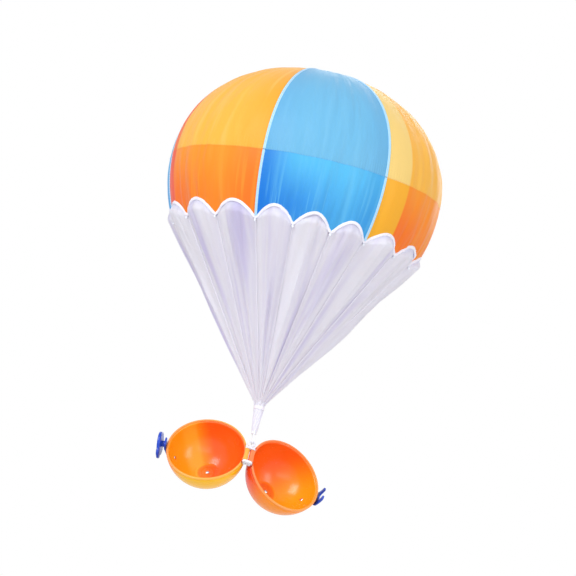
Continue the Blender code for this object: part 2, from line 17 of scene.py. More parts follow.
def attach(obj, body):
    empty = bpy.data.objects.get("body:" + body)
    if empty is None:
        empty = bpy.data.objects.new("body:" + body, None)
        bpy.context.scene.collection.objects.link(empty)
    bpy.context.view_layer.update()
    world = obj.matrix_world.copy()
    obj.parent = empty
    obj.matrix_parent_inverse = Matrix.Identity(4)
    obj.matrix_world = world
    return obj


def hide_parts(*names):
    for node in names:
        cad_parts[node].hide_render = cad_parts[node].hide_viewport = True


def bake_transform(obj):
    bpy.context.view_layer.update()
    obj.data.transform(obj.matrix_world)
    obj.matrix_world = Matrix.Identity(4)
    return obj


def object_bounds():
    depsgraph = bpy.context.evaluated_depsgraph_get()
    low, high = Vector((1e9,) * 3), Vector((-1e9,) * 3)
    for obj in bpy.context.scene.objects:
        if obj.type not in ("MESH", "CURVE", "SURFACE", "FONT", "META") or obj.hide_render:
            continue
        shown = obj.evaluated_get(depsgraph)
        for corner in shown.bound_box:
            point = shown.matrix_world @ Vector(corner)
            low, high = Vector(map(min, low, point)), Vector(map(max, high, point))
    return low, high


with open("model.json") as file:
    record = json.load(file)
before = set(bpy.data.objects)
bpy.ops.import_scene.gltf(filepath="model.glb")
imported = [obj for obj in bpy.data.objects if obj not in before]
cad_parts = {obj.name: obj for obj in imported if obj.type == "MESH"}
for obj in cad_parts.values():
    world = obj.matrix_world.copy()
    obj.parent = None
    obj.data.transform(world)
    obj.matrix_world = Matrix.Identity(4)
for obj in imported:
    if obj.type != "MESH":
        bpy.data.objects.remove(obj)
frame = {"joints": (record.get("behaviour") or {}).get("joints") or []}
cad_low, cad_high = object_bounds()
print("CAD box", [round(v, 4) for v in cad_low], [round(v, 4) for v in cad_high])

# %% [markdown]
# ## Sizes
# These are the main sizes of the toy, the same as in the CAD source. They could be measured on the
# loaded solids instead. Written out, they let each cloth piece follow the same formula as its solid,
# and lie where it lies. Angles round the canopy are counted from the front towards the right.

# %% Sizes of the canopy, skirt and ball
widest_radius = 0.127
hem_radius = 0.1125
widest_to_crown = 0.107
hem_to_widest = 0.060
widest_z = -0.1081
hem_z = widest_z - hem_to_widest
crown_hole_radius = 0.014
crown_patch_radius = 0.019
scallop_rise = 0.0125
side_power = 2.0
top_power = 2.2
puff = 0.018
billow = 0.022
blue_gore = math.radians(54)
gore_pair = math.radians(120)
orange_gore = gore_pair - blue_gore
first_seam = math.radians(7.5) - blue_gore / 2
scallops = 18
skirt_drop = 0.1536
gather_z = hem_z - skirt_drop
gather_radius = 0.0034
eye_point = Vector((0, 0, -0.3578))
ball_radius = 0.0375
wall = 0.0025
print("hem", round(hem_z, 4), "gather", round(gather_z, 4))

# %% [markdown]
# ## Camera, lights and surroundings
# The photograph looks up at the toy from about ten degrees below, and the toy leans to the right in
# it. The toy could be tilted, but then its joints would no longer hang straight down. So the camera is
# rolled instead. A long lens keeps the two cups as flat as they are drawn.

# %% Camera
framing_shift = Vector((0.004, 0, 0.001))
centre = (cad_low + cad_high) / 2 + framing_shift
lean = math.radians(11.5)
below = math.radians(10)
distance = 3.75
rightwards = Vector((1, 0, 0))
sight = Vector((0, math.cos(below), math.sin(below)))
upright = Vector((0, -math.sin(below), math.cos(below)))
right = rightwards * math.cos(lean) + upright * math.sin(lean)
up = upright * math.cos(lean) - rightwards * math.sin(lean)
camera_turn = Matrix((right, up, -sight)).transposed().to_4x4()
camera = bpy.data.objects.new("camera", bpy.data.cameras.new("camera"))
camera.data.lens = 250
camera.data.sensor_width = 36
camera.data.clip_end = 100
camera.matrix_world = Matrix.Translation(centre - sight * distance) @ camera_turn
bpy.context.scene.collection.objects.link(camera)
bpy.context.scene.camera = camera
bpy.context.scene.view_settings.view_transform = "Standard"
print("camera", [round(v, 3) for v in camera.location])

# %% [markdown]
# Soft light comes from one large panel above the viewer's left shoulder, a weaker one from the right,
# one from behind, a low one that lights the skirt and the cups from the front, and the pale
# surroundings. A sun lamp would be simpler, but its hard shadows would draw lines across the cloth.
# The panels are hidden from the camera.

# %% Lights
def light_panel(name, place, aim, size, power):
    lamp = bpy.data.objects.new(name, bpy.data.lights.new(name, "AREA"))
    lamp.data.shape = "RECTANGLE"
    lamp.data.size, lamp.data.size_y = size
    lamp.data.energy = power
    turn = (aim - place).to_track_quat("-Z", "Y").to_matrix().to_4x4()
    lamp.matrix_world = Matrix.Translation(place) @ turn
    lamp.visible_camera = False
    bpy.context.scene.collection.objects.link(lamp)


skirt_middle = centre + Vector((0, 0, -0.06))
light_panel("key_panel", Vector((-1.5, -2.0, 1.1)), centre, (1.1, 1.5), 45)
light_panel("side_panel", Vector((2.0, -1.4, 0.3)), centre, (0.9, 1.4), 17)
light_panel("back_panel", Vector((0.6, 2.2, 0.9)), centre, (1.4, 1.4), 16)
light_panel("low_panel", Vector((0.2, -2.2, -0.5)), skirt_middle, (1.8, 0.6), 6)

# %% [markdown]
# ## Writing node trees as sums
# Most of this toy follows a rule, so Geometry Nodes make it. Python could work out each point too,
# but a tree can be opened, read and changed in Blender afterwards. A formula in nodes is long to
# write out one node at a time. The small class below stands for a value that flows through a tree,
# and turns plus, minus, times and divide into Math nodes. It serves geometry and materials alike.

# %% Values in a node tree
class Flow:
    """A value in a node tree; arithmetic on it adds Math nodes."""

    def __init__(self, tree, socket):
        self.tree = tree
        self.socket = socket

    def maths(self, operation, *others):
        return calculate(self.tree, operation, self, *others)

    def __add__(self, other):
        return self.maths("ADD", other)

    def __sub__(self, other):
        return self.maths("SUBTRACT", other)

    def __mul__(self, other):
        return self.maths("MULTIPLY", other)

    def __truediv__(self, other):
        return self.maths("DIVIDE", other)

    def __pow__(self, other):
        return self.maths("POWER", other)

    def __rsub__(self, other):
        return calculate(self.tree, "SUBTRACT", other, self)

    __radd__ = __add__
    __rmul__ = __mul__

    def sine(self):
        return self.maths("SINE")

    def cosine(self):
        return self.maths("COSINE")

    def fraction(self):
        return self.maths("FRACT")

    def size(self):
        return self.maths("ABSOLUTE")

    def at_least(self, least):
        return self.maths("MAXIMUM", least)


# %% Nodes in one line each
def feed(value, socket):
    """Puts a value on a socket: a flow as a link, anything else as the socket's own value."""
    if isinstance(value, Flow):
        value.tree.links.new(value.socket, socket)
    else:
        socket.default_value = value


def feed_all(inputs, node):
    for key, value in inputs.items():
        feed(value, node.inputs[key])


def add_node(tree, kind, inputs=None, output=0, **settings):
    """Adds a node with its settings and inputs, and returns one of its outputs."""
    node = tree.nodes.new(kind)
    for name, value in settings.items():
        setattr(node, name, value)
    feed_all(inputs or {}, node)
    return Flow(tree, node.outputs[output])


def calculate(tree, operation, *values):
    return add_node(tree, "ShaderNodeMath", dict(enumerate(values)), operation=operation)


def vector_maths(operation, first, *others, output=0):
    inputs = dict(enumerate((first, *others)))
    return add_node(first.tree, "ShaderNodeVectorMath", inputs, output, operation=operation)


def vector(x, y, z):
    """A vector from its three parts, in the tree that they belong to."""
    for part in (x, y, z):
        if isinstance(part, Flow):
            return add_node(part.tree, "ShaderNodeCombineXYZ", {0: x, 1: y, 2: z})
    return (x, y, z)


def parts(flow):
    node = flow.tree.nodes.new("ShaderNodeSeparateXYZ")
    feed(flow, node.inputs[0])
    return [Flow(flow.tree, output) for output in node.outputs]


# %% [markdown]
# ## Surroundings and floor
# The toy is in the air, so the floor lies well under it and only catches its shadow. The floor shows
# from above alone, because the camera looks up from under its level, and fades out round the toy. The
# surroundings are white where the camera or a reflection sees them and grey where they light the toy.
# Brighter surroundings would be white everywhere, but they would bleach the toy's colours.

# %% Surroundings
def seen_directly(tree):
    """1 for a ray that the camera sends, straight, by a reflection or through glass."""
    rays = tree.nodes.new("ShaderNodeLightPath").outputs
    straight = Flow(tree, rays["Is Camera Ray"])
    mirrored = Flow(tree, rays["Is Glossy Ray"])
    through = Flow(tree, rays["Is Transmission Ray"])
    return straight.at_least(mirrored).at_least(through)


grey_light = 0.64
world = bpy.data.worlds.new("pale_surroundings")
world.use_nodes = True
bpy.context.scene.world = world
tree = world.node_tree
background = tree.nodes["Background"]
strength = add_node(tree, "ShaderNodeMapRange",
                    {"Value": seen_directly(tree), "To Min": grey_light, "To Max": 1.0})
feed_all({"Color": (1, 1, 1, 1), "Strength": strength}, background)
print("surroundings light the toy at", grey_light)

# %% A floor that fades out
def start_look(name):
    look = bpy.data.materials.new(name)
    look.use_nodes = True
    tree = look.node_tree
    return look, tree, tree.nodes["Principled BSDF"], tree.nodes["Material Output"]


def object_place(tree):
    return add_node(tree, "ShaderNodeTexCoord", output="Object")


floor_z = -0.62
floor_look, tree, shader, out = start_look("pale_floor")
feed_all({"Base Color": (0.86, 0.86, 0.86, 1), "Roughness": 0.9}, shader)
from_below = add_node(tree, "ShaderNodeNewGeometry", output="Backfacing")
reach = vector_maths("LENGTH", object_place(tree), output="Value")
far_out = add_node(tree, "ShaderNodeMapRange", {"Value": reach, "From Min": 0.3, "From Max": 1.3})
whole = Flow(tree, shader.outputs[0])
clear = add_node(tree, "ShaderNodeBsdfTransparent")
faded = add_node(tree, "ShaderNodeMixShader", {0: from_below.at_least(far_out), 1: whole, 2: clear})
feed(faded, out.inputs["Surface"])
bpy.ops.mesh.primitive_plane_add(size=30, location=(0, 0, floor_z))
floor = bpy.context.object
floor.name = "floor"
floor.data.materials.append(floor_look)
print("floor at", floor_z)

# %% [markdown]
# A tree has named inputs, so each piece that uses it can be given its own sizes. The tree's result
# is turned into a plain mesh, with no instances or modifiers left on it.

# %% Trees with named inputs, and what they grow
socket_kinds = {float: "NodeSocketFloat", int: "NodeSocketInt", tuple: "NodeSocketVector",
                str: "NodeSocketMaterial"}
same_place = 0.00001


class Recipe:
    """A Geometry Nodes tree with named inputs; a text stands for a material that is still to come."""

    def __init__(self, name, **sizes):
        self.tree = bpy.data.node_groups.new(name, "GeometryNodeTree")
        face = self.tree.interface
        face.new_socket("Geometry", in_out="OUTPUT", socket_type="NodeSocketGeometry")
        self.keys = {}
        for label, value in sizes.items():
            socket = face.new_socket(label, in_out="INPUT", socket_type=socket_kinds[type(value)])
            if not isinstance(value, str):
                socket.default_value = value
            self.keys[label] = socket.identifier
        self.entry = self.tree.nodes.new("NodeGroupInput")

    def __getitem__(self, label):
        return Flow(self.tree, self.entry.outputs[label])

    def add(self, kind, inputs=None, output=0, **settings):
        return add_node(self.tree, kind, inputs, output, **settings)

    def grid(self):
        """A flat grid of unit size, with the tree's own columns and rows, and x and y on it."""
        counts = {"Vertices X": self["columns"], "Vertices Y": self["rows"]}
        flat = self.add("GeometryNodeMeshGrid", {"Size X": 1.0, "Size Y": 1.0, **counts})
        x, y, _ = parts(self.add("GeometryNodeInputPosition"))
        return flat, x, y

    def line(self, count, **ends):
        """A straight curve of a number of points."""
        straight = self.add("GeometryNodeCurvePrimitiveLine", ends)
        return self.add("GeometryNodeResampleCurve", {"Curve": straight, "Count": count})

    def circle(self, count, radius):
        return self.add("GeometryNodeCurvePrimitiveCircle", {"Resolution": count, "Radius": radius})

    def sweep(self, curve, profile, caps=True):
        inputs = {"Curve": curve, "Profile Curve": profile, "Fill Caps": caps}
        return self.add("GeometryNodeCurveToMesh", inputs)

    def upright(self, curve):
        """Keeps a profile that is swept along the curve from rolling over."""
        return self.add("GeometryNodeSetCurveNormal", {"Curve": curve}, mode="Z_UP")

    def store(self, geometry, name, value, kind="FLOAT_VECTOR", domain="POINT"):
        """Stores a value on the geometry, under a name that a material can read."""
        inputs = {"Geometry": geometry, "Name": name, "Value": value}
        return self.add("GeometryNodeStoreNamedAttribute", inputs, data_type=kind, domain=domain)

    def store_uv(self, geometry, metres):
        return self.store(geometry, "UVMap", metres, "FLOAT2", "CORNER")

    def move(self, geometry, place):
        return self.add("GeometryNodeSetPosition", {"Geometry": geometry, "Position": place})

    def end_closed(self, geometry):
        """Ends the tree with its seam closed: points in one place become one point."""
        inputs = {"Geometry": geometry, "Distance": same_place}
        self.end(self.add("GeometryNodeMergeByDistance", inputs))

    def end(self, geometry):
        whole = self.add("GeometryNodeRealizeInstances", {0: geometry})
        painted = self.add("GeometryNodeSetMaterial", {"Geometry": whole, "Material": self["look"]})
        out = self.tree.nodes.new("NodeGroupOutput")
        self.tree.links.new(painted.socket, out.inputs[0])

    def grow(self, name, **sizes):
        """Runs the tree with these sizes and keeps its result as a plain mesh object."""
        seed = bpy.data.objects.new(name + "_seed", bpy.data.meshes.new(name + "_seed"))
        bpy.context.scene.collection.objects.link(seed)
        modifier = seed.modifiers.new("recipe", "NODES")
        modifier.node_group = self.tree
        for label, value in sizes.items():
            modifier[self.keys[label]] = value
        depsgraph = bpy.context.evaluated_depsgraph_get()
        mesh = bpy.data.meshes.new_from_object(seed.evaluated_get(depsgraph))
        bpy.data.objects.remove(seed)
        return show(name, mesh)


def show(name, mesh):
    mesh.name = name
    made = bpy.data.objects.new(name, mesh)
    bpy.context.scene.collection.objects.link(made)
    return made


# %% Finishing a piece, and fixing it to a body
def turn_outwards(piece):
    """Merges doubled points and points all faces out."""
    bm = bmesh.new()
    bm.from_mesh(piece.data)
    bmesh.ops.remove_doubles(bm, verts=bm.verts, dist=same_place)
    bmesh.ops.recalc_face_normals(bm, faces=bm.faces)
    bm.to_mesh(piece.data)
    bm.free()
    piece.data.shade_smooth()


def keep_result(piece):
    """Turns a piece and its modifiers into a plain mesh."""
    depsgraph = bpy.context.evaluated_depsgraph_get()
    piece.data = bpy.data.meshes.new_from_object(piece.evaluated_get(depsgraph))
    piece.modifiers.clear()


def make_sheet(piece, thickness, away_from=None):
    """Gives a grown sheet its thickness, inwards, and returns the area that it was cut to."""
    turn_outwards(piece)
    face = piece.data.polygons[0]
    if away_from is not None and face.normal.dot(face.center - away_from) < 0:
        piece.data.flip_normals()
    area = sum(face.area for face in piece.data.polygons)
    shell = piece.modifiers.new("thickness", "SOLIDIFY")
    shell.thickness = thickness
    shell.offset = -1
    shell.use_rim = True
    keep_result(piece)
    piece.data.set_sharp_from_angle(angle=math.radians(60))
    return area


def settle(piece, body, slot, *nodes):
    """Fixes a finished piece to its body, and hides the solids that it stands for; slot is not used."""
    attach(piece, body)
    if nodes:
        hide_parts(*nodes)
    print(piece.name, len(piece.data.polygons), "faces")


# %% [markdown]
# ## Cloth
# The canopy is thin nylon: a close plain weave, a soft sheen, and some light that passes through.
# Painted shade deepens each colour towards the seams and the hem, and long soft streaks of painted
# highlight run down it. An image could do this, but it would blur up close. The pattern here is worked
# out from two numbers that the node tree stores on the cloth: how far across its gore a point is, and
# how far up.

# %% Colours and a weave
def linear(red, green, blue):
    """A colour as a screen shows it, 0 to 255, as the shader wants it."""
    values = [c / 255 for c in (red, green, blue)]
    return tuple(c / 12.92 if c <= 0.04045 else ((c + 0.055) / 1.055) ** 2.4 for c in values) + (1,)


def mix_colours(share, first, second):
    inputs = {0: share, 6: first, 7: second}
    return add_node(share.tree, "ShaderNodeMix", inputs, output=2, data_type="RGBA")


def smooth_step(value, low, high):
    inputs = {"Value": value, "From Min": low, "From Max": high}
    return add_node(value.tree, "ShaderNodeMapRange", inputs, interpolation_type="SMOOTHSTEP")


def noise(place, scale, detail):
    inputs = {"Vector": place, "Scale": scale, "Detail": detail}
    return add_node(place.tree, "ShaderNodeTexNoise", inputs)


def relief(strength, distance, height):
    inputs = {"Strength": strength, "Distance": distance, "Height": height}
    return add_node(height.tree, "ShaderNodeBump", inputs)


def woven_bump(tree, threads, depth, more=None):
    """A plain weave from two crossed waves on the UV map, which is in metres."""
    warp, weft, _ = parts(add_node(tree, "ShaderNodeUVMap", uv_map="UVMap"))
    height = (warp * threads * math.tau).sine() * (weft * threads * math.tau).sine()
    if more is not None:
        height = height * depth + more
        depth = 1.0
    return relief(0.35, depth, height)


def let_light_through(shader, out, share, inputs):
    """Adds the light that comes through thin cloth or plastic from behind."""
    tree = inputs["Color"].tree
    behind = add_node(tree, "ShaderNodeBsdfTranslucent", inputs)
    front = Flow(tree, shader.outputs[0])
    both = add_node(tree, "ShaderNodeMixShader", {0: share, 1: front, 2: behind})
    feed(both, out.inputs["Surface"])


def finish_cloth(shader, out, colour, bump, through, finish):
    feed_all({"Base Color": colour, "Normal": bump, **finish}, shader)
    let_light_through(shader, out, through, {"Color": colour, "Normal": bump})


# %% Nylon
nylon_threads = 900
nylon_relief = 0.00008
nylon_through = 0.25
nylon_finish = {"Roughness": 0.42, "Sheen Weight": 0.15, "Sheen Roughness": 0.4,
                "Specular IOR Level": 0.28}
pucker_depth = 0.00022
gather_depth = 0.00016


def cloth_look(name, middle, edge, foot, streak, far_edge=None, painted_highlight_strip=None, painted_shade_strip=None):
    """Nylon of one panel: its colour in the middle, and painted shade by its two seams and at the foot.

    A strip beside the first seam is a painted highlight, and painted shade on the left of the toy.
    """
    look, tree, shader, out = start_look(name)
    place = add_node(tree, "ShaderNodeAttribute", attribute_name="gore_place", output="Vector")
    across, height, part_up = parts(place)
    from_middle = (across - 0.5).size()
    # Deeper tone by the two seams, less deep by the far seam: painted shade.
    seam_tone = mix_colours(smooth_step(across, 0.35, 0.7), edge, far_edge or edge)
    by_seam = smooth_step(from_middle, 0.20, 0.5)
    colour = mix_colours(by_seam * 0.8, middle, seam_tone)
    # Deeper tone at the foot, less deep on the far side of the gore: painted shade.
    near_foot = 1.0 - smooth_step(height, 0.04, 0.26)
    far_side = smooth_step(across, 0.25, 0.7)
    colour = mix_colours(near_foot * (0.75 - far_side * 0.45), colour, foot)
    # Paler soft streaks and paler crease streaks: painted highlight along folds.
    soft = noise(vector(across * 9.0, height * 1.1, 0.0), 1.3, 3.0)
    colour = mix_colours(smooth_step(soft, 0.50, 0.72) * 0.55, colour, streak)
    crease_highlight = noise(vector(across * 30.0, height * 1.9, 3.0), 1.2, 2.0)
    low_down = 1.0 - smooth_step(height, 0.08, 0.30)
    colour = mix_colours(smooth_step(crease_highlight, 0.56, 0.70) * low_down * 0.5, colour, streak)
    # The strip beside the first seam: painted highlight on the right of the toy, painted shade on the left.
    if painted_highlight_strip is not None:
        toy_x, _, _ = parts(object_place(tree))
        tone = mix_colours(smooth_step(toy_x, -0.02, 0.0), painted_shade_strip, painted_highlight_strip)
        in_strip = 1.0 - smooth_step(across, 0.19, 0.205)
        colour = mix_colours(in_strip, colour, tone)
    uneven = (soft - 0.5) * 9.0
    at_seam = smooth_step(from_middle, 0.44, 0.5)
    puckers = (height * 330.0 + uneven).sine() * at_seam * pucker_depth
    at_hem = 1.0 - smooth_step(part_up, 0.0, 0.2)
    gathers = (across * 290.0 + uneven).sine() * at_hem * gather_depth
    bump = woven_bump(tree, nylon_threads, nylon_relief, more=puckers + gathers)
    finish_cloth(shader, out, colour, bump, nylon_through, nylon_finish)
    return look


# %% The four tones of nylon
# The pale upper tones are a painted highlight on the top of the canopy. The edge, foot and far_edge tones
# are painted shade, and the streak tones are painted highlight.
looks = {
    "blue_upper": cloth_look(
        "pale_blue_nylon", middle=linear(119, 195, 234), edge=linear(112, 188, 232),
        foot=linear(112, 188, 232), streak=linear(130, 202, 238)),
    "blue_lower": cloth_look(
        "blue_nylon", middle=linear(92, 198, 244), edge=linear(14, 122, 226),
        foot=linear(16, 126, 230), streak=linear(112, 204, 246), far_edge=linear(70, 180, 240)),
    "orange_upper": cloth_look(
        "yellow_nylon", middle=linear(255, 198, 76), edge=linear(252, 180, 54),
        foot=linear(253, 184, 58), streak=linear(255, 216, 120), painted_highlight_strip=linear(250, 220, 134),
        painted_shade_strip=linear(252, 120, 46)),
    "orange_lower": cloth_look(
        "orange_nylon", middle=linear(255, 162, 44), edge=linear(252, 116, 38),
        foot=linear(253, 110, 34), streak=linear(255, 176, 60), far_edge=linear(254, 128, 40),
        painted_highlight_strip=linear(252, 188, 48), painted_shade_strip=linear(250, 84, 40)),
}
print("cloth looks", list(looks))

# %% [markdown]
# ## The canopy's shape
# The dome is a surface of revolution: a short flared band from the hem to the widest ring, then a
# rounded cap. Its cloth puffs out a little between seams, and billows between the points of the hem.
# A cloth simulation could fill it with air, but the seams would land somewhere else on each run. One
# function adds these formulas to a tree instead, so that panels, seams, stitches and the hem all lie
# on the same surface.

# %% The surface that every canopy piece lies on
low_share = 0.25
share_per_rise = low_share / hem_to_widest
last_turn = math.acos((crown_hole_radius / widest_radius) ** (side_power / 2))
dome_height = widest_to_crown + hem_to_widest
gore_scallops = 3.0


def around(angle, radius, z):
    return vector(angle.sine() * radius, angle.cosine() * radius * -1.0, z)


def canopy_place(across, height, start, width, lift=0.0, ripple=0.0):
    """A point of the canopy: across its gore and up it, both from 0 to 1, and a lift off the cloth."""
    fall = (1.0 - height / low_share).at_least(0.0)
    rise_share = ((height - low_share) / (1 - low_share)).at_least(0.0)
    turn = rise_share ** 1.3 * last_turn
    side = turn.cosine().at_least(0.0001) ** (2 / side_power)
    rise = turn.sine().at_least(0.0) ** (2 / top_power)
    radius = side * widest_radius - fall * fall * (widest_radius - hem_radius)
    z = widest_z - fall * hem_to_widest + rise * widest_to_crown
    up_share = (z - hem_z) / dome_height
    in_scallop = (across * gore_scallops).fraction()
    puffed = (across * math.pi).sine().at_least(0.0) * (up_share * math.pi).sine() * puff
    slack = 1.0 - up_share
    billowed = (in_scallop * math.pi).sine() * slack * slack * billow
    radius = radius * (puffed + billowed + 1.0)
    angle = start + width * across
    out = side ** (side_power - 1)
    upward = rise ** (top_power - 1) * (widest_radius * top_power / side_power / widest_to_crown)
    upward = upward - fall * (2 * (widest_radius - hem_radius) / hem_to_widest)
    normal = vector_maths("NORMALIZE", around(angle, out, upward))
    inputs = {0: normal, "Scale": ripple + lift}
    off = add_node(normal.tree, "ShaderNodeVectorMath", inputs, operation="SCALE")
    return vector_maths("ADD", around(angle, radius, z), off)


print("dome height", round(dome_height, 4))

# %% [markdown]
# Real cloth under tension isn't smooth. It creases where each line pulls on the hem, and a few long
# folds run up from there. A bump in the material could hint at them, but not at the outline. So they
# are real relief: a sum of folds, strongest at the hem and gone at the top.

# %% Folds in the canopy's cloth
crease_reach = 0.34
crease_depth = 0.0007
fold_depth = 0.0075
crumple_depth = 0.0022


def canopy_ripple(across, height, start):
    in_scallop = (across * gore_scallops).fraction()
    from_point = (in_scallop - 0.5).size() * 2.0
    low = (1.0 - height / crease_reach).at_least(0.0)
    creases = (in_scallop * math.tau * 4.0).cosine() * from_point * from_point * low * low * crease_depth
    wander = noise(vector(across * 5.0 + start * 7.0, height * 1.6, start), 1.9, 2.0)
    edges = (across * math.pi).sine().at_least(0.0)
    long_folds = (wander - 0.5) * edges * (1.0 - height * 0.72) * fold_depth
    crumple = noise(vector(across * 26.0 + start * 3.0, height * 4.0, start), 1.5, 1.0)
    return creases + long_folds + (crumple - 0.5) * edges * low * crumple_depth


def on_cloth(across, height, start, width, lift=0.0):
    """A point of the folded cloth, and a lift off it."""
    ripple = canopy_ripple(across, height, start)
    return canopy_place(across, height, start, width, lift, ripple)


# %% [markdown]
# A gore is sewn from a deep tone below and a pale tone above, so six gores make twelve panels. The pale
# upper tone is a painted highlight on the top of the canopy. The panels could be cut from one dome, but
# then a tone would end in steps. Here each panel is a flat grid that one recipe lays on the canopy
# between two seams. It keeps its own clean edges and scallops.

# %% One recipe for all twelve panels
panel = Recipe("canopy_panel", start=0.0, width=1.0, bottom=0.0, top=1.0, scallop_rise=0.0, columns=97,
               rows=41, look="cloth")
grid, grid_x, grid_y = panel.grid()
across = grid_x + 0.5
part_up = grid_y + 0.5
scallop = (across * gore_scallops).fraction() * math.pi
edge_rise = scallop.sine() * panel["scallop_rise"] * share_per_rise
height = (panel["bottom"] + edge_rise) * (1.0 - part_up) + panel["top"] * part_up
round_way = (panel["start"] + panel["width"] * across) * widest_radius
cloth = panel.store_uv(grid, vector(round_way, height * 0.25, 0.0))
cloth = panel.store(cloth, "gore_place", vector(across, height, part_up))
place = on_cloth(across, height, panel["start"], panel["width"])
panel.end(panel.move(cloth, place))
print("panel inputs", list(panel.keys))

# %% The twelve panels
nylon_thickness = 0.0005
slots = {"blue_upper": "blue_cloth_pale", "blue_lower": "blue_cloth", "orange_upper": "yellow_cloth",
         "orange_lower": "orange_cloth"}
levels = (("lower", 0.0, low_share, scallop_rise, 37, 0.064), ("upper", low_share, 1.0, 0.0, 75, 0.19))


def gore_starts():
    for pair in range(3):
        start = first_seam + pair * gore_pair
        yield start, blue_gore, "blue"
        yield start + blue_gore, orange_gore, "orange"


for number, (start, width, colour) in enumerate(gore_starts(), 1):
    for level, bottom, top, rise, rows, length in levels:
        tone = f"{colour}_{level}"
        piece = panel.grow(f"cloth_{level}_{number}", start=start, width=width, bottom=bottom, top=top,
                           scallop_rise=rise, columns=97, rows=rows, look=looks[tone])
        area = make_sheet(piece, nylon_thickness, away_from=Vector((0, 0, hem_z)))
        settle(piece, "canopy", slots[tone], f"gore_{level}_{number}")
        cut = width * widest_radius
        flat = (cut, max(length, area / cut * 1.001))

# %% [markdown]
# ## Seams
# Two gores meet in a sewn seam, covered by a narrow pale tape with a row of stitches down each side.
# A painted stripe would do from afar, but a raised tape catches light at the outline. One meridian
# serves all six seams. It is a curve laid on the canopy's surface, swept with a flat rounded profile,
# and turned round the axis to each seam. Stitches are slim beads set along it.

# %% Stitches along a curve, and a flat profile
def stitches_along(recipe, curve):
    """Sets slim beads lengthwise at even steps along a curve; the recipe gives their sizes."""
    ball = recipe.add("GeometryNodeMeshUVSphere", {"Segments": 6, "Rings": 4, "Radius": 0.5})
    size = vector(recipe["thread"], recipe["thread"], recipe["stitch"])
    bead = recipe.add("GeometryNodeTransform", {"Geometry": ball, "Scale": size})
    node = recipe.tree.nodes.new("GeometryNodeCurveToPoints")
    feed_all({"Curve": curve, "Count": recipe["count"]}, node)
    points = Flow(recipe.tree, node.outputs["Points"])
    tangent = Flow(recipe.tree, node.outputs["Tangent"])
    lengthwise = recipe.add("FunctionNodeAlignRotationToVector", {"Vector": tangent}, axis="Z")
    inputs = {"Points": points, "Instance": bead, "Rotation": lengthwise}
    return recipe.add("GeometryNodeInstanceOnPoints", inputs)


def flat_profile(recipe, wide, thick):
    outline = recipe.add("GeometryNodeCurvePrimitiveQuadrilateral", {"Width": wide, "Height": thick})
    inputs = {"Curve": outline, "Count": 2, "Radius": thick * 0.45, "Limit Radius": True}
    return recipe.add("GeometryNodeFilletCurve", inputs, mode="POLY")


def join(recipe, *pieces):
    node = recipe.tree.nodes.new("GeometryNodeJoinGeometry")
    for piece in pieces:
        feed(piece, node.inputs[0])
    return Flow(recipe.tree, node.outputs[0])


# %% The line of a seam, and its six places
def gore_start(gore):
    """The angle where a gore starts, for gores 0 to 5, and 0 for a blue or 1 for an orange one."""
    pair = (gore / 2.0).maths("FLOOR")
    odd = gore - pair * 2.0
    return pair * gore_pair + odd * blue_gore + first_seam, odd


def meridian(recipe, aside, lift):
    """The line up the canopy at the front, moved aside and lifted off the cloth."""
    along = recipe.add("GeometryNodeSplineParameter")
    place = on_cloth(along * 0.0, along * 0.985 + 0.004, 0.0, 1.0, lift)
    moved = vector_maths("ADD", place, vector(aside, 0.0, 0.0))
    return recipe.upright(recipe.move(recipe.line(90), moved))


def at_each_seam(recipe, piece):
    """Six copies of a piece, turned from the front to the seams between gores."""
    points = recipe.add("GeometryNodePoints", {"Count": 6})
    turn, _ = gore_start(recipe.add("GeometryNodeInputIndex"))
    inputs = {"Points": points, "Instance": piece, "Rotation": vector(0.0, 0.0, turn)}
    return recipe.add("GeometryNodeInstanceOnPoints", inputs)


# %% A seam tape with its stitches
seam = Recipe("seam_tape", width=0.0026, thickness=0.0006, look="tape")
middle = meridian(seam, 0.0, seam["thickness"] * 0.3)
tape = seam.sweep(middle, flat_profile(seam, seam["width"], seam["thickness"]))
seam.end(at_each_seam(seam, tape))

seam_rows = Recipe("seam_stitches", aside=0.0009, lift=0.00062, stitch=0.0018, thread=0.00030, count=100,
                   look="thread")
both_rows = []
for side in (1.0, -1.0):
    beside = meridian(seam_rows, seam_rows["aside"] * side, seam_rows["lift"])
    both_rows.append(stitches_along(seam_rows, beside))
seam_rows.end(at_each_seam(seam_rows, join(seam_rows, *both_rows)))
print("seam inputs", list(seam.keys), list(seam_rows.keys))

# %% [markdown]
# Tape, binding and thread are a denser weave than the cloth, near white or pale blue. Their threads
# are too fine to model, so a close noise in colour and relief stands for them.

# %% Tape, binding and thread finishes
def ribbed_look(name, colour, shade, roughness, scale):
    look, tree, shader, _ = start_look(name)
    grain = noise(object_place(tree), scale, 4.0)
    tone = mix_colours(smooth_step(grain, 0.35, 0.7), colour, shade)
    rough = grain * 0.2 + (roughness - 0.1)
    bump = relief(0.5, 0.0002, grain)
    feed_all({"Base Color": tone, "Roughness": rough, "Sheen Weight": 0.12, "Normal": bump}, shader)
    return look


def thread_look(name, colour, shade):
    return ribbed_look(name, colour, shade, 0.5, 3000)


looks["tape"] = ribbed_look("pale_seam_tape", linear(176, 218, 244), linear(152, 206, 240), 0.6, 1400)
looks["binding"] = ribbed_look("white_binding", linear(243, 241, 249), linear(226, 223, 240), 0.6, 1200)
looks["seam_thread"] = thread_look("pale_seam_thread", linear(206, 230, 248), linear(184, 220, 244))
looks["thread"] = thread_look("white_thread", linear(244, 246, 252), linear(222, 228, 242))
looks["blue_thread"] = thread_look("blue_thread", linear(96, 182, 238), linear(74, 160, 226))
looks["orange_thread"] = thread_look("orange_thread", linear(255, 168, 62), linear(248, 148, 50))

tapes = seam.grow("seam_tapes", look=looks["tape"])
turn_outwards(tapes)
settle(tapes, "canopy", "white_cord")
settle(seam_rows.grow("seam_stitches", look=looks["seam_thread"]), "canopy", "white_cord")

# %% [markdown]
# The two tones of a gore are joined by a row of stitches in the gore's own colour. A dark line in the
# material could stand for it. Small beads on the same surface look like thread up close.

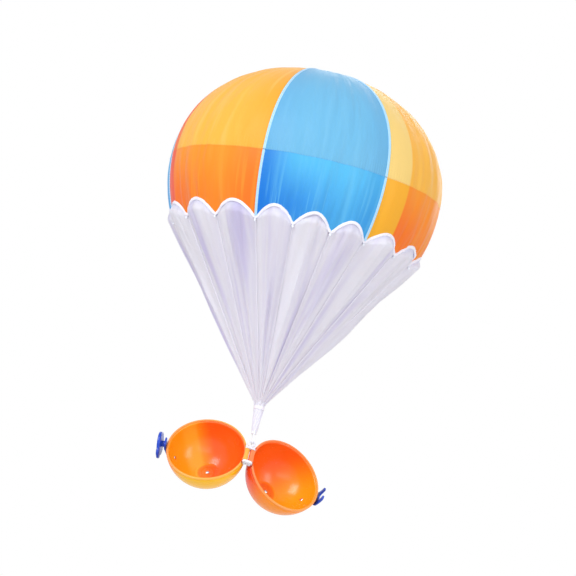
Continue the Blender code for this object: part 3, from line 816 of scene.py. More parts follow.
# %% Stitches between the two tones
tone_rows = Recipe("tone_stitches", start=0.0, width=1.0, lift=0.0002, stitch=0.0017, thread=0.0003,
                   count=56, look="thread")
stitches_per_blue = 50
across = tone_rows.add("GeometryNodeSplineParameter") * 0.97 + 0.015
height = across * 0.0 + (low_share + 0.004)
place = on_cloth(across, height, tone_rows["start"], tone_rows["width"], tone_rows["lift"])
tone_rows.end(stitches_along(tone_rows, tone_rows.move(tone_rows.line(97), place)))
for number, (start, width, colour) in enumerate(gore_starts(), 1):
    count = round(stitches_per_blue * width / blue_gore)
    row = tone_rows.grow(f"tone_stitches_{number}", start=start, width=width, count=count,
                         look=looks[colour + "_thread"])
    settle(row, "canopy", colour + "_cloth")

# %% [markdown]
# ## The hem
# The hem is cut in eighteen scallops, three to a gore, and bound with white tape that is folded over
# the edge. It is the bright line in the photograph. A bevelled curve with hand-set points could draw
# it. Here the ring reads the canopy's own formula, so it can't leave the edge. The blue gores are
# narrower than the orange ones, so the tree first works out which gore a point of the ring is in.

# %% Places round the hem
def ring_gore(step):
    """Start and width of the gore that holds a step round the hem, 0 to 18, and the share across it."""
    gore = (step / gore_scallops).maths("FLOOR")
    start, odd = gore_start(gore)
    width = odd * (orange_gore - blue_gore) + blue_gore
    return start, width, (step - gore * gore_scallops) / gore_scallops


def hem_curve(recipe, lift, above):
    """The hem as a closed curve, with its points a little rounded."""
    per_scallop = 28
    step = recipe.add("GeometryNodeInputIndex") / float(per_scallop)
    start, width, across = ring_gore(step)
    wave = ((across * gore_scallops).fraction() * math.pi).sine()
    soft = ((wave * wave + 0.006) ** 0.5 - 0.0775) * 1.08
    height = (soft * scallop_rise + above) * share_per_rise
    place = on_cloth(across, height, start, width, lift)
    return recipe.upright(recipe.move(recipe.circle(per_scallop * scallops, 1.0), place))


# %% Binding and its stitches
hem = Recipe("hem_binding", thickness=0.0021, tall=0.0036, look="binding")
oval_size = vector(hem["thickness"], hem["tall"], 1.0)
oval = hem.add("GeometryNodeTransform", {"Geometry": hem.circle(14, 0.5), "Scale": oval_size})
hem.end(hem.sweep(hem_curve(hem, -0.0003, -0.0006), oval, caps=False))
hem_piece = hem.grow("hem_tape", look=looks["binding"])
turn_outwards(hem_piece)
settle(hem_piece, "canopy", "white_cord", "hem_binding")

hem_rows = Recipe("hem_stitches", lift=0.00078, above=0.0, stitch=0.0019, thread=0.00034, count=330,
                  look="thread")
hem_rows.end(stitches_along(hem_rows, hem_curve(hem_rows, hem_rows["lift"], hem_rows["above"])))
settle(hem_rows.grow("hem_stitches", look=looks["thread"]), "canopy", "white_cord")

# %% [markdown]
# ## The skirt
# Under the hem hangs a white skirt of thin film cloth. It starts wide, in eighteen round lobes that are
# tucked up behind the scallops, and is drawn in to a narrow neck. Its lines lie in the valleys between
# the lobes. Softer folds run down with them, and all of them crowd together at the foot. A cloth
# simulation would find such folds by itself, slowly. A rule on one grid is quick, keeps the valleys on
# the lines, and gives the same folds on each run.

# %% The skirt's lobes and folds
skirt_tuck = 0.0016
tuck_share = 0.14
metres_per_lobe = 0.0393
metres_down = 0.2
skirt = Recipe("skirt", lobe=0.0046, foot_lobe=0.0019, columns=433, rows=111, look="film")
grid, grid_x, grid_y = skirt.grid()
step = (grid_x + 0.5) * float(scallops)
from_top = 0.5 - grid_y
start, width, across = ring_gore(step)
angle = start + width * across
wave = ((across * gore_scallops).fraction() * math.pi).sine().at_least(0.0)
bulge = wave ** 0.8
down = ((from_top - tuck_share) / (1 - tuck_share)).at_least(0.0) ** 1.12
tucked = ((tuck_share - from_top) / tuck_share).at_least(0.0)
circle_x, circle_y, _ = parts(around(angle, 1.0, 0.0))


def skirt_noise(round_scale, down_scale, scale, detail):
    """Noise about zero that runs round the skirt and down it."""
    place = vector(circle_x * round_scale, circle_y * round_scale, down * down_scale)
    return noise(place, scale, detail) - 0.5


folds = skirt_noise(6.5, 0.9, 1.6, 2.0)
pleats = skirt_noise(24.0, 1.6, 1.5, 1.0)
swell = skirt_noise(2.1, 0.6, 1.6, 1.0)

# %% The skirt's surface
slack = 1.0 - down
crown_z = wave * 0.0045 + (hem_z - 0.0037)
z = crown_z * slack + down * gather_z + tucked * (bulge * 0.0134 + 0.0030)
valley = (hem_z - z) / skirt_drop * (gather_radius - hem_radius) + hem_radius
rounder = smooth_step(down, 0.0, 0.45)
crest = bulge * (1.0 - rounder) + wave * wave * rounder
lobe = crest * (slack * slack * skirt["lobe"] + slack * 0.0015 + down * skirt["foot_lobe"])
mid_fold = crest * slack * (folds * 0.014 + pleats * 0.004 + swell * 0.014)
mid_fold = mid_fold + crest * down * slack * (folds * 0.018 + swell * 0.034)
hung = around(angle, valley + lobe + mid_fold, z)
height = (z - hem_z) * share_per_rise
inside = canopy_place(across, height, start, width, lift=-skirt_tuck)
meets = smooth_step(tucked, 0.0, 0.75)
place = skirt.add("ShaderNodeMix", {0: meets, 4: hung, 5: inside}, output=1, data_type="VECTOR")
cloth = skirt.store_uv(grid, vector(step * metres_per_lobe, from_top * metres_down, 0.0))
cloth = skirt.store(cloth, "skirt_place", vector(wave, down, tucked))
skirt.end_closed(skirt.move(cloth, place))
print("skirt inputs", list(skirt.keys))

# %% [markdown]
# The skirt's film is white with a lavender cast. Painted shade makes it deeper lavender in the valleys,
# along its folds and where the cloth tucks up behind the hem. Glass-like transmission would be too
# clear and slow to render. A translucent layer passes light on without a view through, which keeps the
# shadows pale.

# %% Film cloth
film_threads = 1100
film_relief = 0.00006
film_through = 0.46
film_finish = {"Roughness": 0.45, "Sheen Weight": 0.3, "Specular IOR Level": 0.35}
# Lavender streaks of painted shade along the skirt's folds, broad and narrow.
broad_fold_shade = (38.0, 0.65, linear(214, 207, 242))
narrow_fold_shade = (130.0, 0.25, linear(226, 220, 247))


def film_look():
    look, tree, shader, out = start_look("white_film_cloth")
    place = add_node(tree, "ShaderNodeAttribute", attribute_name="skirt_place", output="Vector")
    crest, _, tucked = parts(place)
    # Deeper lavender in the valleys between the lobes: painted shade.
    valley = 1.0 - smooth_step(crest, 0.0, 0.55)
    colour = mix_colours(valley * 0.1, linear(249, 249, 255), linear(228, 227, 250))
    u, v, _ = parts(add_node(tree, "ShaderNodeUVMap", uv_map="UVMap"))
    for count, strength, tone in (broad_fold_shade, narrow_fold_shade):
        streak = noise(vector(u * count, v * 4.0, count), 1.0, 3.0)
        colour = mix_colours(smooth_step(streak, 0.50, 0.72) * strength, colour, tone)
    # Deeper lavender where the cloth tucks up behind the hem: painted shade under the hem.
    painted_hem_shade = smooth_step(tucked, 0.05, 0.8) * 0.45
    colour = mix_colours(painted_hem_shade, colour, linear(204, 205, 242))
    bump = woven_bump(tree, film_threads, film_relief)
    finish_cloth(shader, out, colour, bump, film_through, film_finish)
    return look


# %% The finished skirt
film_thickness = 0.0004
looks["film"] = film_look()
skirt_piece = skirt.grow("skirt_cloth", look=looks["film"])
skirt_area = make_sheet(skirt_piece, film_thickness)
settle(skirt_piece, "canopy", "white_cloth", *[f"skirt_panel_{i}" for i in range(1, 7)])
print("skirt area", round(skirt_area, 4))

# %% [markdown]
# ## Lines
# A thin twisted cord runs down each valley of the skirt, from a point of the hem to the neck. It is
# taut, so it is straight. Three strands could be wound for each cord, but that is a lot of mesh for
# less than a millimetre. One round sweep with a fine relief along it is enough. Each one is grown with
# its true length, so that its strands keep the same pitch.

# %% Where a line lies
line_radius = 0.00045
line_gap = 0.0004
skirt_slope = Vector((skirt_drop, gather_radius - hem_radius)).normalized()


def valley_point(angle, z):
    radius = hem_radius + (gather_radius - hem_radius) * (hem_z - z) / skirt_drop
    radius += skirt_slope.x * (line_radius + line_gap)
    return Vector((radius * math.sin(angle), -radius * math.cos(angle), z))


print("a line starts", round(valley_point(0, hem_z).length, 3), "m from the crown")

# %% A recipe and a look for taut cord
cord = Recipe("taut_line", high=(0.0, 0.0, 0.0), low=(0.0, 0.0, -1.0), radius=line_radius, length=0.19,
              look="cord")
strands_per_metre = 620
run = cord.line(40, Start=cord["high"], End=cord["low"])
run = cord.store(run, "along", cord.add("GeometryNodeSplineParameter") * cord["length"], "FLOAT")
cord.end(cord.sweep(run, cord.circle(10, cord["radius"])))


def cord_look():
    """White twisted cord; its strands follow the length that the tree stores."""
    look, tree, shader, _ = start_look("twisted_cord")
    along = add_node(tree, "ShaderNodeAttribute", attribute_name="along", output="Fac")
    fuzz = noise(object_place(tree), 2500.0, 2.0)
    strands = (along * (math.tau * strands_per_metre)).sine() * 0.5 + 0.5
    # Darker bands between the raised strands: painted shade in the grooves of the twist.
    tone = mix_colours(strands * 0.6 + fuzz * 0.2, linear(232, 228, 244), linear(252, 251, 255))
    bump = relief(0.6, 0.0002, strands + fuzz * 0.4)
    feed_all({"Base Color": tone, "Roughness": 0.6, "Sheen Weight": 0.3, "Normal": bump}, shader)
    return look


# %% The eighteen cords
looks["cord"] = cord_look()
below_hem = 0.0030
above_gather = 0.0006
number = 0
for start, width, _ in gore_starts():
    for third in range(3):
        number += 1
        angle = start + width * third / 3
        high = valley_point(angle, hem_z - below_hem)
        low = valley_point(angle, gather_z + above_gather)
        length = (high - low).length
        piece = cord.grow(f"cord_{number:02d}", high=tuple(high), low=tuple(low), length=length,
                          look=looks["cord"])
        settle(piece, "canopy", "white_cord", f"line_{number:02d}")
print("lines", number, "each about", round(length, 3))

# %% [markdown]
# Each line is tied off under the hem with a small knot. A knot's loops don't show at this size, so
# the knots are eighteen copies of one bead, set at the points of the hem.

# %% Knots at the hem
ties = Recipe("hem_knots", size=0.0011, look="cord")
start, width, across = ring_gore(ties.add("GeometryNodeInputIndex") + 0.0001)
spot = around(start + width * across, hem_radius + 0.0006, hem_z - 0.0035)
points = ties.move(ties.add("GeometryNodePoints", {"Count": scallops}), spot)
bead = ties.add("GeometryNodeMeshUVSphere", {"Segments": 12, "Rings": 8, "Radius": ties["size"]})
bead = ties.add("GeometryNodeTransform", {"Geometry": bead, "Scale": (1.0, 1.0, 1.35)})
ties.end(ties.add("GeometryNodeInstanceOnPoints", {"Points": points, "Instance": bead}))
settle(ties.grow("hem_knots", look=looks["thread"]), "canopy", "white_cord")

# %% [markdown]
# ## The neck
# Below the skirt the same cloth is rolled into a short fluted neck. Thread is whipped round it where it
# leaves the skirt and again at its foot, where it is sewn into a loop. Two rigid halves would tear
# apart where the tether swings. So the neck is one sheet, made in place under the skirt and fixed to
# no body.

# %% A rolled, twisted neck of cloth
neck_top = gather_z + 0.0020
neck_foot = eye_point.z + 0.0072
tie_reach = 0.0024
neck = Recipe("neck", top=neck_top, foot=neck_foot, top_radius=0.0054, foot_radius=0.0024, flutes=9.0,
              flute=0.0007, twist=2.2, pinch=0.0006, columns=145, rows=81, look="film")
grid, grid_x, grid_y = neck.grid()
angle = (grid_x + 0.5) * math.tau
along = 0.5 - grid_y
z = neck["top"] + (neck["foot"] - neck["top"]) * along
radius = neck["foot_radius"] + (neck["top_radius"] - neck["foot_radius"]) * (1.0 - along) ** 1.5
for tie_height in (gather_z - 0.0035, neck_foot + 0.0014):
    from_tie = (z - tie_height) / tie_reach
    radius = radius - neck["pinch"] * (from_tie * from_tie * -1.0).maths("EXPONENT")
turned_by = angle + along * neck["twist"]
fold = ((turned_by * neck["flutes"]).sine() * 0.5 + 0.5) ** 0.7
second = (turned_by * 5.0 + 1.3 + along * 2.0).sine() * 0.25
radius = radius + (fold + second - 0.6) * neck["flute"] * (1.0 - along * 0.5)
cloth = neck.store_uv(grid, vector(angle * 0.0036, along * 0.03, 0.0))
# The flutes' fold is stored where the film reads its crest, so the valleys between flutes get the film's
# painted shade.
cloth = neck.store(cloth, "skirt_place", vector(fold, 0.5, 0.0))
neck.end_closed(neck.move(cloth, around(angle, radius, z)))
print("neck inputs", list(neck.keys))

# %% The finished neck
neck_piece = neck.grow("neck_cloth", look=looks["film"])
neck_area = make_sheet(neck_piece, film_thickness)
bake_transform(neck_piece)
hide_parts("tether")
print("neck area", round(neck_area, 5))

# %% Thread whipped round the neck
whip = Recipe("whipping", radius=0.0048, height=0.0032, turns=5.0, thread=0.00034, at=(0.0, 0.0, 0.0),
              look="thread")
spiral = whip.add("GeometryNodeCurveSpiral",
                  {"Resolution": 28, "Rotations": whip["turns"], "Start Radius": whip["radius"],
                   "End Radius": whip["radius"], "Height": whip["height"]})
coil = whip.sweep(spiral, whip.circle(8, whip["thread"]))
whip.end(whip.add("GeometryNodeTransform", {"Geometry": coil, "Translation": whip["at"]}))
top_whip = whip.grow("whipping_top", at=(0.0, 0.0, gather_z - 0.0051), height=0.0032, look=looks["cord"])
settle(top_whip, "canopy", "white_cord", "gather_knot")
low_whip = whip.grow("whipping_low", at=(0.0, 0.0, neck_foot + 0.0003), radius=0.00235, height=0.0024,
                     turns=5.0, thread=0.00028, look=looks["thread"])
settle(low_whip, "tether", "white_cord")

# %% [markdown]
# ## Turned and moulded parts
# The ball, its straps and its latch are moulded plastic, and the rivets and pins are steel. They are
# built from turned profiles, swept tubes and cut plates, as a workshop would make them. Ready-made
# cylinders and spheres have no rounded edges or grooves. A profile has, at no more cost.

# %% Ways to make a solid
def turned(profile, sides=48):
    """A solid turned about z from (radius, height) points; a radius of 0 closes it in a point."""
    bm = bmesh.new()
    rings = []
    for radius, height in profile:
        count = sides if radius > 0 else 1
        turns = [math.tau * i / sides for i in range(count)]
        rings.append([bm.verts.new((radius * math.cos(t), radius * math.sin(t), height)) for t in turns])
    for ring, other in zip(rings, rings[1:]):
        for i in range(sides):
            corners = [ring[i % len(ring)], ring[(i + 1) % len(ring)]]
            corners += [other[(i + 1) % len(other)], other[i % len(other)]]
            bm.faces.new(list(dict.fromkeys(corners)))
    return bm


def join_rings(bm, ring, other):
    for i in range(len(ring)):
        j = (i + 1) % len(ring)
        bm.faces.new((ring[i], ring[j], other[j], other[i]))


def tube(path, side_of, radius, sides=12):
    """A tube round a closed path; side_of gives a direction across the path at each point."""
    bm = bmesh.new()
    rings = []
    turns = [math.tau * k / sides for k in range(sides)]
    for i, point in enumerate(path):
        along = (path[(i + 1) % len(path)] - path[i - 1]).normalized()
        side = (side_of[i] - along * side_of[i].dot(along)).normalized()
        lift = along.cross(side)
        offsets = [(side * math.cos(t) + lift * math.sin(t)) * radius for t in turns]
        rings.append([bm.verts.new(point + offset) for offset in offsets])
    for i, ring in enumerate(rings):
        join_rings(bm, ring, rings[(i + 1) % len(rings)])
    return bm


def prism(outline, low, high):
    bm = bmesh.new()
    bottom, top = ([bm.verts.new((x, y, z)) for x, y in outline] for z in (low, high))
    bm.faces.new(bottom)
    bm.faces.new(top)
    join_rings(bm, bottom, top)
    return bm


def arc(radius, start, end, steps, middle=(0.0, 0.0)):
    """Points (radius, height) along a circle, with angles counted from level, upwards."""
    angles = [start + (end - start) * i / steps for i in range(steps + 1)]
    return [(middle[0] + radius * math.cos(a), middle[1] + radius * math.sin(a)) for a in angles]


# %% Ways to finish, cut and join a solid
crease_angle = 40


def shade(piece, sharp=crease_angle):
    """Shades a piece smooth, apart from edges that turn by more than an angle in degrees."""
    piece.data.shade_smooth()
    piece.data.set_sharp_from_angle(angle=math.radians(sharp))


def solid(name, bm, place, look=None):
    bm.transform(place)
    bmesh.ops.recalc_face_normals(bm, faces=bm.faces)
    mesh = bpy.data.meshes.new(name)
    bm.to_mesh(mesh)
    bm.free()
    if look is not None:
        mesh.materials.append(look)
    made = show(name, mesh)
    shade(made)
    return made


def combine(piece, tool, operation="DIFFERENCE"):
    cut = piece.modifiers.new("cut", "BOOLEAN")
    cut.operation = operation
    cut.solver = "MANIFOLD"
    cut.object = tool
    keep_result(piece)
    bpy.data.objects.remove(tool)


def soften(piece, width):
    """Rounds the sharp edges of a piece by a small bevel."""
    bevel = piece.modifiers.new("soft_edges", "BEVEL")
    bevel.width = width
    bevel.segments = 2
    bevel.limit_method = "ANGLE"
    bevel.angle_limit = math.radians(crease_angle)
    bevel.harden_normals = False
    keep_result(piece)
    shade(piece)


# %% [markdown]
# ## The open ball
# Each half of the ball turns about its own pin, and both pins are held by two small white plates. The
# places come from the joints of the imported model. In a half's own frame z runs along its pin, and the
# ball's centre lies one radius away in x, on the rim's plane. The halves stand open by 108 degrees.

# %% Places of the halves
joints = {joint["name"]: joint for joint in frame["joints"]}
left_pin = Vector(joints["half_left_hinge"]["pos_m"])
right_pin = Vector(joints["half_right_hinge"]["pos_m"])
pin_offset = (right_pin - left_pin).length / 2
hinge_up = Vector(joints["half_left_hinge"]["axis"]).normalized()
hinge_across = (right_pin - left_pin).normalized()
hinge_out = hinge_across.cross(hinge_up).normalized()
hinge_place = Matrix.Translation((left_pin + right_pin) / 2) @ Matrix(
    (hinge_out, hinge_across, hinge_up)).transposed().to_4x4()
open_angle = math.radians(108)
ball_centre = Vector((ball_radius, pin_offset, 0))


def half_place(side):
    flip = Matrix.Identity(4) if side < 0 else Matrix.Rotation(math.pi, 4, "X")
    opened = Matrix.Rotation(-open_angle, 4, "Z")
    return hinge_place @ Matrix.Translation((0, side * pin_offset, 0)) @ flip @ opened


def along_ray(angle):
    """Turns z to a ray from the ball's centre, 0 at the latch and a quarter turn at the pole."""
    ray = Vector((math.cos(angle), -math.sin(angle), 0))
    return Matrix.Translation(ball_centre) @ ray.to_track_quat("Z", "Y").to_matrix().to_4x4()


places = {"left": half_place(-1), "right": half_place(1)}
centres = {name: place @ ball_centre for name, place in places.items()}
print("centres of the halves", {name: [round(v, 4) for v in centre] for name, centre in centres.items()})

# %% [markdown]
# The plastic is glossy and a little translucent. Inside, painted light and shade turn a half from amber
# to red orange, and outside from yellow or orange to a deeper tone. The floor inside is redder. The rim
# is paler, a painted highlight, and a paler stripe inside the left half is a painted reflection. An
# image on an unwrapped sphere would stretch at the pole. Distances from the ball's centre don't, so
# the colours are worked out from these.

# %% Moulded plastic
def moulded_look(name, roughness, peel=0.00003):
    """A glossy moulded surface: uneven gloss, a slight orange peel, and fine handling scratches."""
    look, tree, shader, out = start_look(name)
    place = object_place(tree)
    cloudy = noise(place, 60.0, 3.0)
    stretched = add_node(tree, "ShaderNodeMapping", {"Vector": place, "Scale": (90.0, 900.0, 500.0)})
    scratches = smooth_step(noise(stretched, 1.0, 2.0), 0.66, 0.72)
    rough = cloudy * 0.14 + scratches * 0.12 + (roughness - 0.07)
    bump = relief(0.4, peel, noise(place, 900.0, 1.0))
    feed_all({"Roughness": rough, "Normal": bump, "Specular IOR Level": 0.4,
                    "Coat Weight": 0.1, "Coat Roughness": 0.12}, shader)
    return look, shader, out, place, cloudy


def shell_look(name, centre, pole, inside, outside, painted_reflection_stripe=0.0):
    """Orange plastic of one half.

    Inside and outside each give a direction, the distances along it where the colour starts and
    stops to turn, and its two colours: a turn of painted light and shade. The rim is paler, a painted
    highlight, and so is a stripe inside the left half, a painted reflection.
    """
    look, shader, out, place, cloudy = moulded_look(name, 0.24)
    offset = vector_maths("SUBTRACT", place, tuple(centre))

    def along(direction):
        return vector_maths("DOT_PRODUCT", offset, tuple(direction), output="Value")

    # Each turn of colour is painted light and shade.
    def blended(direction, start, stop, first, second):
        share = smooth_step(along(direction) + (cloudy - 0.5) * 0.006, start, stop)
        return mix_colours(share, first, second)

    reach = vector_maths("LENGTH", offset, output="Value")
    is_outside = smooth_step(reach, ball_radius - wall * 0.7, ball_radius - wall * 0.3)
    # A paler stripe inside the left half: a painted reflection.
    from_side = along(inside[0])
    past_stripe = smooth_step(from_side, -0.006, -0.002)
    in_stripe = smooth_step(from_side, -0.021, -0.014) * (1.0 - past_stripe)
    bright_inside = mix_colours(in_stripe * painted_reflection_stripe, blended(*inside), linear(255, 190, 62))
    colour = mix_colours(is_outside, bright_inside, blended(*outside))
    # A paler rim: a painted highlight along its edge.
    rim_highlight = 1.0 - smooth_step(along(pole), 0.0012, 0.0022)
    colour = mix_colours(rim_highlight * 0.55, colour, linear(255, 172, 104))
    inner = ball_radius - wall
    in_floor = 1.0 - smooth_step(reach, inner - 0.0009, inner - 0.0002)
    colour = mix_colours(in_floor * 0.6, colour, linear(248, 88, 24))
    feed(colour, shader.inputs["Base Color"])
    let_light_through(shader, out, 0.12, {"Color": colour})
    return look


# %% Plain plastic and steel
def plain_plastic(name, colour, darker, roughness):
    look, shader, _, _, cloudy = moulded_look(name, roughness)
    tone = mix_colours(smooth_step(cloudy, 0.35, 0.7), colour, darker)
    feed(tone, shader.inputs["Base Color"])
    return look


def steel_look():
    look, shader, _, _, cloudy = moulded_look("bright_steel", 0.26, 0.00001)
    tone = mix_colours(cloudy, linear(196, 198, 202), linear(226, 227, 230))
    feed_all({"Base Color": tone, "Metallic": 1.0, "Coat Weight": 0.0}, shader)
    return look


poles = {name: place.to_3x3() @ Vector((0, -1, 0)) for name, place in places.items()}
# The turns between these colours are painted light and shade: yellow and amber for lit plastic, red orange
# and deep red for shaded plastic.
yellow, amber = linear(255, 196, 24), linear(255, 168, 24)
red_orange, deep_red = linear(255, 104, 28), linear(234, 58, 26)
looks["shell_left"] = shell_look(
    "orange_plastic_left", centres["left"], poles["left"],
    inside=((0.92, 0.0, 0.39), -0.009, 0.010, amber, red_orange),
    outside=((0.95, 0.0, -0.30), -0.027, -0.003, linear(255, 136, 32), yellow), painted_reflection_stripe=0.5)
looks["shell_right"] = shell_look(
    "orange_plastic_right", centres["right"], poles["right"],
    inside=((-0.45, 0.0, 0.89), -0.022, 0.022, amber, red_orange),
    outside=((-0.80, 0.0, 0.60), -0.014, 0.024, linear(255, 152, 24), deep_red))
looks["strap"] = plain_plastic("blue_strap_plastic", linear(14, 66, 186), linear(9, 50, 160), 0.30)
looks["link"] = plain_plastic("white_link_plastic", linear(240, 240, 246), linear(222, 222, 234), 0.35)
looks["steel"] = steel_look()
print("looks", len(looks))

# %% [markdown]
# A half is half a hollow ball with a flat round floor moulded inside. Its rim is rounded and stepped
# inside, and a fine groove runs round the outside just under it. A knuckle at the rim takes the pin.
# All but the knuckle is round, so one turned profile holds the wall, rim, groove and floor. The
# knuckle, its bore and the notches for the link are joined and cut afterwards.

# %% The profile of a half
floor_radius = 0.012
rim_round = 0.0006
groove_depth = 0.00035
link_radius = 0.0024
knuckle_radius = 0.0023
knuckle_half = 0.0070
pin_radius = 0.0010
bore_radius = 0.0013
clearance = 0.0004
link_low = knuckle_half + 0.0003
link_high = link_low + 0.0022
post_length = 0.0025
pin_depth = 0.0013


def half_profile():
    """From the pole up the outside, over the rim, and down the inside to the floor's middle."""
    rim = -0.00015
    lip_foot = 0.0023
    inner = ball_radius - wall
    below_groove = math.asin(0.0038 / ball_radius)
    outside = arc(ball_radius, -math.pi / 2, -below_groove, 30)
    groove = [(ball_radius * math.cos(math.asin(d / ball_radius)) - groove_depth * depth, -d)
              for d, depth in ((0.0036, 0.3), (0.0034, 0.85), (0.0031, 1.0), (0.0028, 0.85), (0.0026, 0.3))]
    lip = [(ball_radius - 0.00008, -lip_foot), (ball_radius, -0.0014)]
    lip += arc(rim_round, 0, math.pi / 2, 4, (ball_radius - rim_round, rim - rim_round))
    ledge = inner + 0.0008
    lip += arc(0.0004, math.pi / 2, math.pi, 3, (ledge + 0.0004, rim - 0.0004))
    lip += [(ledge, -0.0016), (inner + 0.0002, -0.0019), (math.sqrt(inner ** 2 - lip_foot ** 2), -lip_foot)]
    floor_turn = math.acos(floor_radius / inner)
    inside = arc(inner, -math.asin(0.003 / inner), -floor_turn, 22)
    deep = inside[-1][1]
    low, lowest = deep - 0.00025, deep - 0.0005
    floor = [(floor_radius - 0.0004, deep - 0.0002), (floor_radius - 0.0012, low)]
    floor += [(0.0068, low), (0.0066, deep), (0.0060, deep), (0.0058, low)]
    floor += [(0.0016, low), (0.0014, lowest), (0, lowest)]
    return [(0, -ball_radius)] + outside[1:] + groove + lip + inside + floor


# %% The two halves
def rounded_rod(radius, low, high, edge=0.0003):
    """A rod's profile with rounded ends."""
    foot = arc(edge, -math.pi / 2, 0, 3, (radius - edge, low + edge))
    head = arc(edge, 0, math.pi / 2, 3, (radius - edge, high - edge))
    return [(0, low)] + foot + head + [(0, high)]


def notch_outline():
    """A slot with a round end about the pin, open past the seam."""
    radius = link_radius + clearance
    past_seam = pin_offset + 0.001
    return arc(radius, math.pi, math.tau, 20) + [(radius, past_seam), (-radius, past_seam)]


def drill(low, high, place):
    """A round rod that cuts the bore of a pin."""
    return solid("bore", turned([(0, low), (bore_radius, low), (bore_radius, high), (0, high)], 24), place)


def make_half(side, body):
    place = places[side]
    look = looks["shell_" + side]
    rim_up = place @ Matrix.Translation(ball_centre) @ Matrix.Rotation(-math.pi / 2, 4, "X")
    shell = solid(f"cup_{side}", turned(half_profile(), 112), rim_up, look)
    knuckle = turned(rounded_rod(knuckle_radius, -knuckle_half, knuckle_half), 32)
    combine(shell, solid("knuckle", knuckle, place, look), "UNION")
    through = knuckle_half + 0.001
    combine(shell, drill(-through, through, place))
    reach = link_high + post_length + clearance
    for end in (-1, 1):
        low, high = sorted((end * knuckle_half, end * reach))
        combine(shell, solid("notch", prism(notch_outline(), low, high), place))
    shade(shell, 35)
    settle(shell, body, "orange_plastic", "shell_" + side)


make_half("left", "half_left")
make_half("right", "half_right")

# %% [markdown]
# ## Strap and latch
# A blue strap is riveted round the outside of each half, from past its pole to the rim. The left one
# carries the latch: a round head on a stem, with a smaller round lobe and a raised ring. The right one
# steps up near the rim and ends in a fork that slides round the stem when the ball is shut. A flat
# strip with a Simple Deform modifier could be bent round the ball, but its ends would bend too. The
# band is built from sections along the arc instead, each with its own width and height.

# %% Straps as bent bands
strap_thick = 0.0016
strap_inner = ball_radius + 0.0003
strap_outer = strap_inner + strap_thick
fork_inner = strap_outer + 0.0007
fork_outer = fork_inner + strap_thick
stem_radius = 0.0030
head_base = fork_outer + 0.0005
head_thick = 0.0030
strap_half = 0.0035
strap_end = math.radians(98)
tip_steps = 6
tip_degrees = 13


def ramp(value, low, high):
    share = min(max((value - low) / (high - low), 0), 1)
    return share * share * (3 - 2 * share)


def band(stations, round_edge=0.00045):
    """A bent band with rounded edges, from (angle, inner radius, outer radius, half width) stations."""
    bm = bmesh.new()
    rings = []
    for angle, inner, outer, half in stations:
        ray = Vector((math.cos(angle), -math.sin(angle), 0))
        edge = min(round_edge, half * 0.45, (outer - inner) * 0.45)
        corners = []
        for quarter, (x, r) in enumerate(((1, 1), (-1, 1), (-1, -1), (1, -1))):
            middle = (x * (half - edge), (outer if r > 0 else inner) - r * edge)
            start = quarter * math.pi / 2
            corners += arc(edge, start, start + math.pi / 2, 3, middle)
        spots = [ball_centre + ray * reach + Vector((0, 0, aside)) for aside, reach in corners]
        rings.append([bm.verts.new(spot) for spot in spots])
    for ring, other in zip(rings, rings[1:]):
        join_rings(bm, ring, other)
    bm.faces.new(rings[0])
    bm.faces.new(rings[-1])
    return bm


def strap_stations(end, rounding, half_at, level_at):
    """Stations every two degrees from the far tip to the rim end, both ends rounded."""
    stations = []
    far = strap_end
    for i in range(tip_steps + 1):
        turn = math.radians(tip_degrees * (tip_steps - i))
        angle = far + half_at(far) * math.sin(turn) / strap_outer
        stations.append((angle, *level_at(far), half_at(far) * math.cos(turn)))
    steps = round((far - end) / math.radians(2))
    for i in range(1, steps):
        angle = far + (end + rounding / strap_outer - far) * i / steps
        stations.append((angle, *level_at(angle), half_at(angle)))
    for i in range(tip_steps + 1):
        turn = math.radians(tip_degrees * i)
        angle = end + rounding * (1 - math.sin(turn)) / strap_outer
        stations.append((angle, *level_at(end), half_at(end) - rounding * (1 - math.cos(turn))))
    return stations


# %% The two straps
rim_rounding = 0.0020
left_overhang = 0.0050
right_overhang = 0.0062


def left_half_width(angle):
    return strap_half + 0.0015 * (1 - ramp(angle, math.radians(3), math.radians(10)))


def left_level(angle):
    return strap_inner, strap_outer


def right_half_width(angle):
    return strap_half + 0.0040 * (1 - ramp(angle, math.radians(9), math.radians(19)))


def right_level(angle):
    up = (fork_inner - strap_inner) * (1 - ramp(angle, math.radians(13), math.radians(21)))
    return strap_inner + up, strap_outer + up


left_strap = band(strap_stations(-left_overhang / strap_outer, rim_rounding, left_half_width, left_level))
left_strap = solid("strap_band_left", left_strap, places["left"], looks["strap"])
settle(left_strap, "half_left", "blue_plastic", "strap_left")
right_strap = band(strap_stations(-right_overhang / fork_outer, rim_rounding, right_half_width, right_level))
right_strap = solid("strap_band_right", right_strap, places["right"], looks["strap"])
slot_radius = stem_radius + clearance
quarter = math.pi / 2
slot = arc(slot_radius, quarter, quarter + math.pi, 20) + [(0.009, -slot_radius), (0.009, slot_radius)]
combine(right_strap, solid("slot", prism(slot, ball_radius, head_base), places["right"] @ along_ray(0)))
soften(right_strap, 0.0003)
settle(right_strap, "half_right", "blue_plastic", "strap_right")

# %% [markdown]
# The latch is one moulding: stem, head, lobe and ring. Head and lobe are turned, the ring is a swept
# tube, and they are joined to one closed solid, because loose shapes pushed into each other would
# show hard lines where they cross.

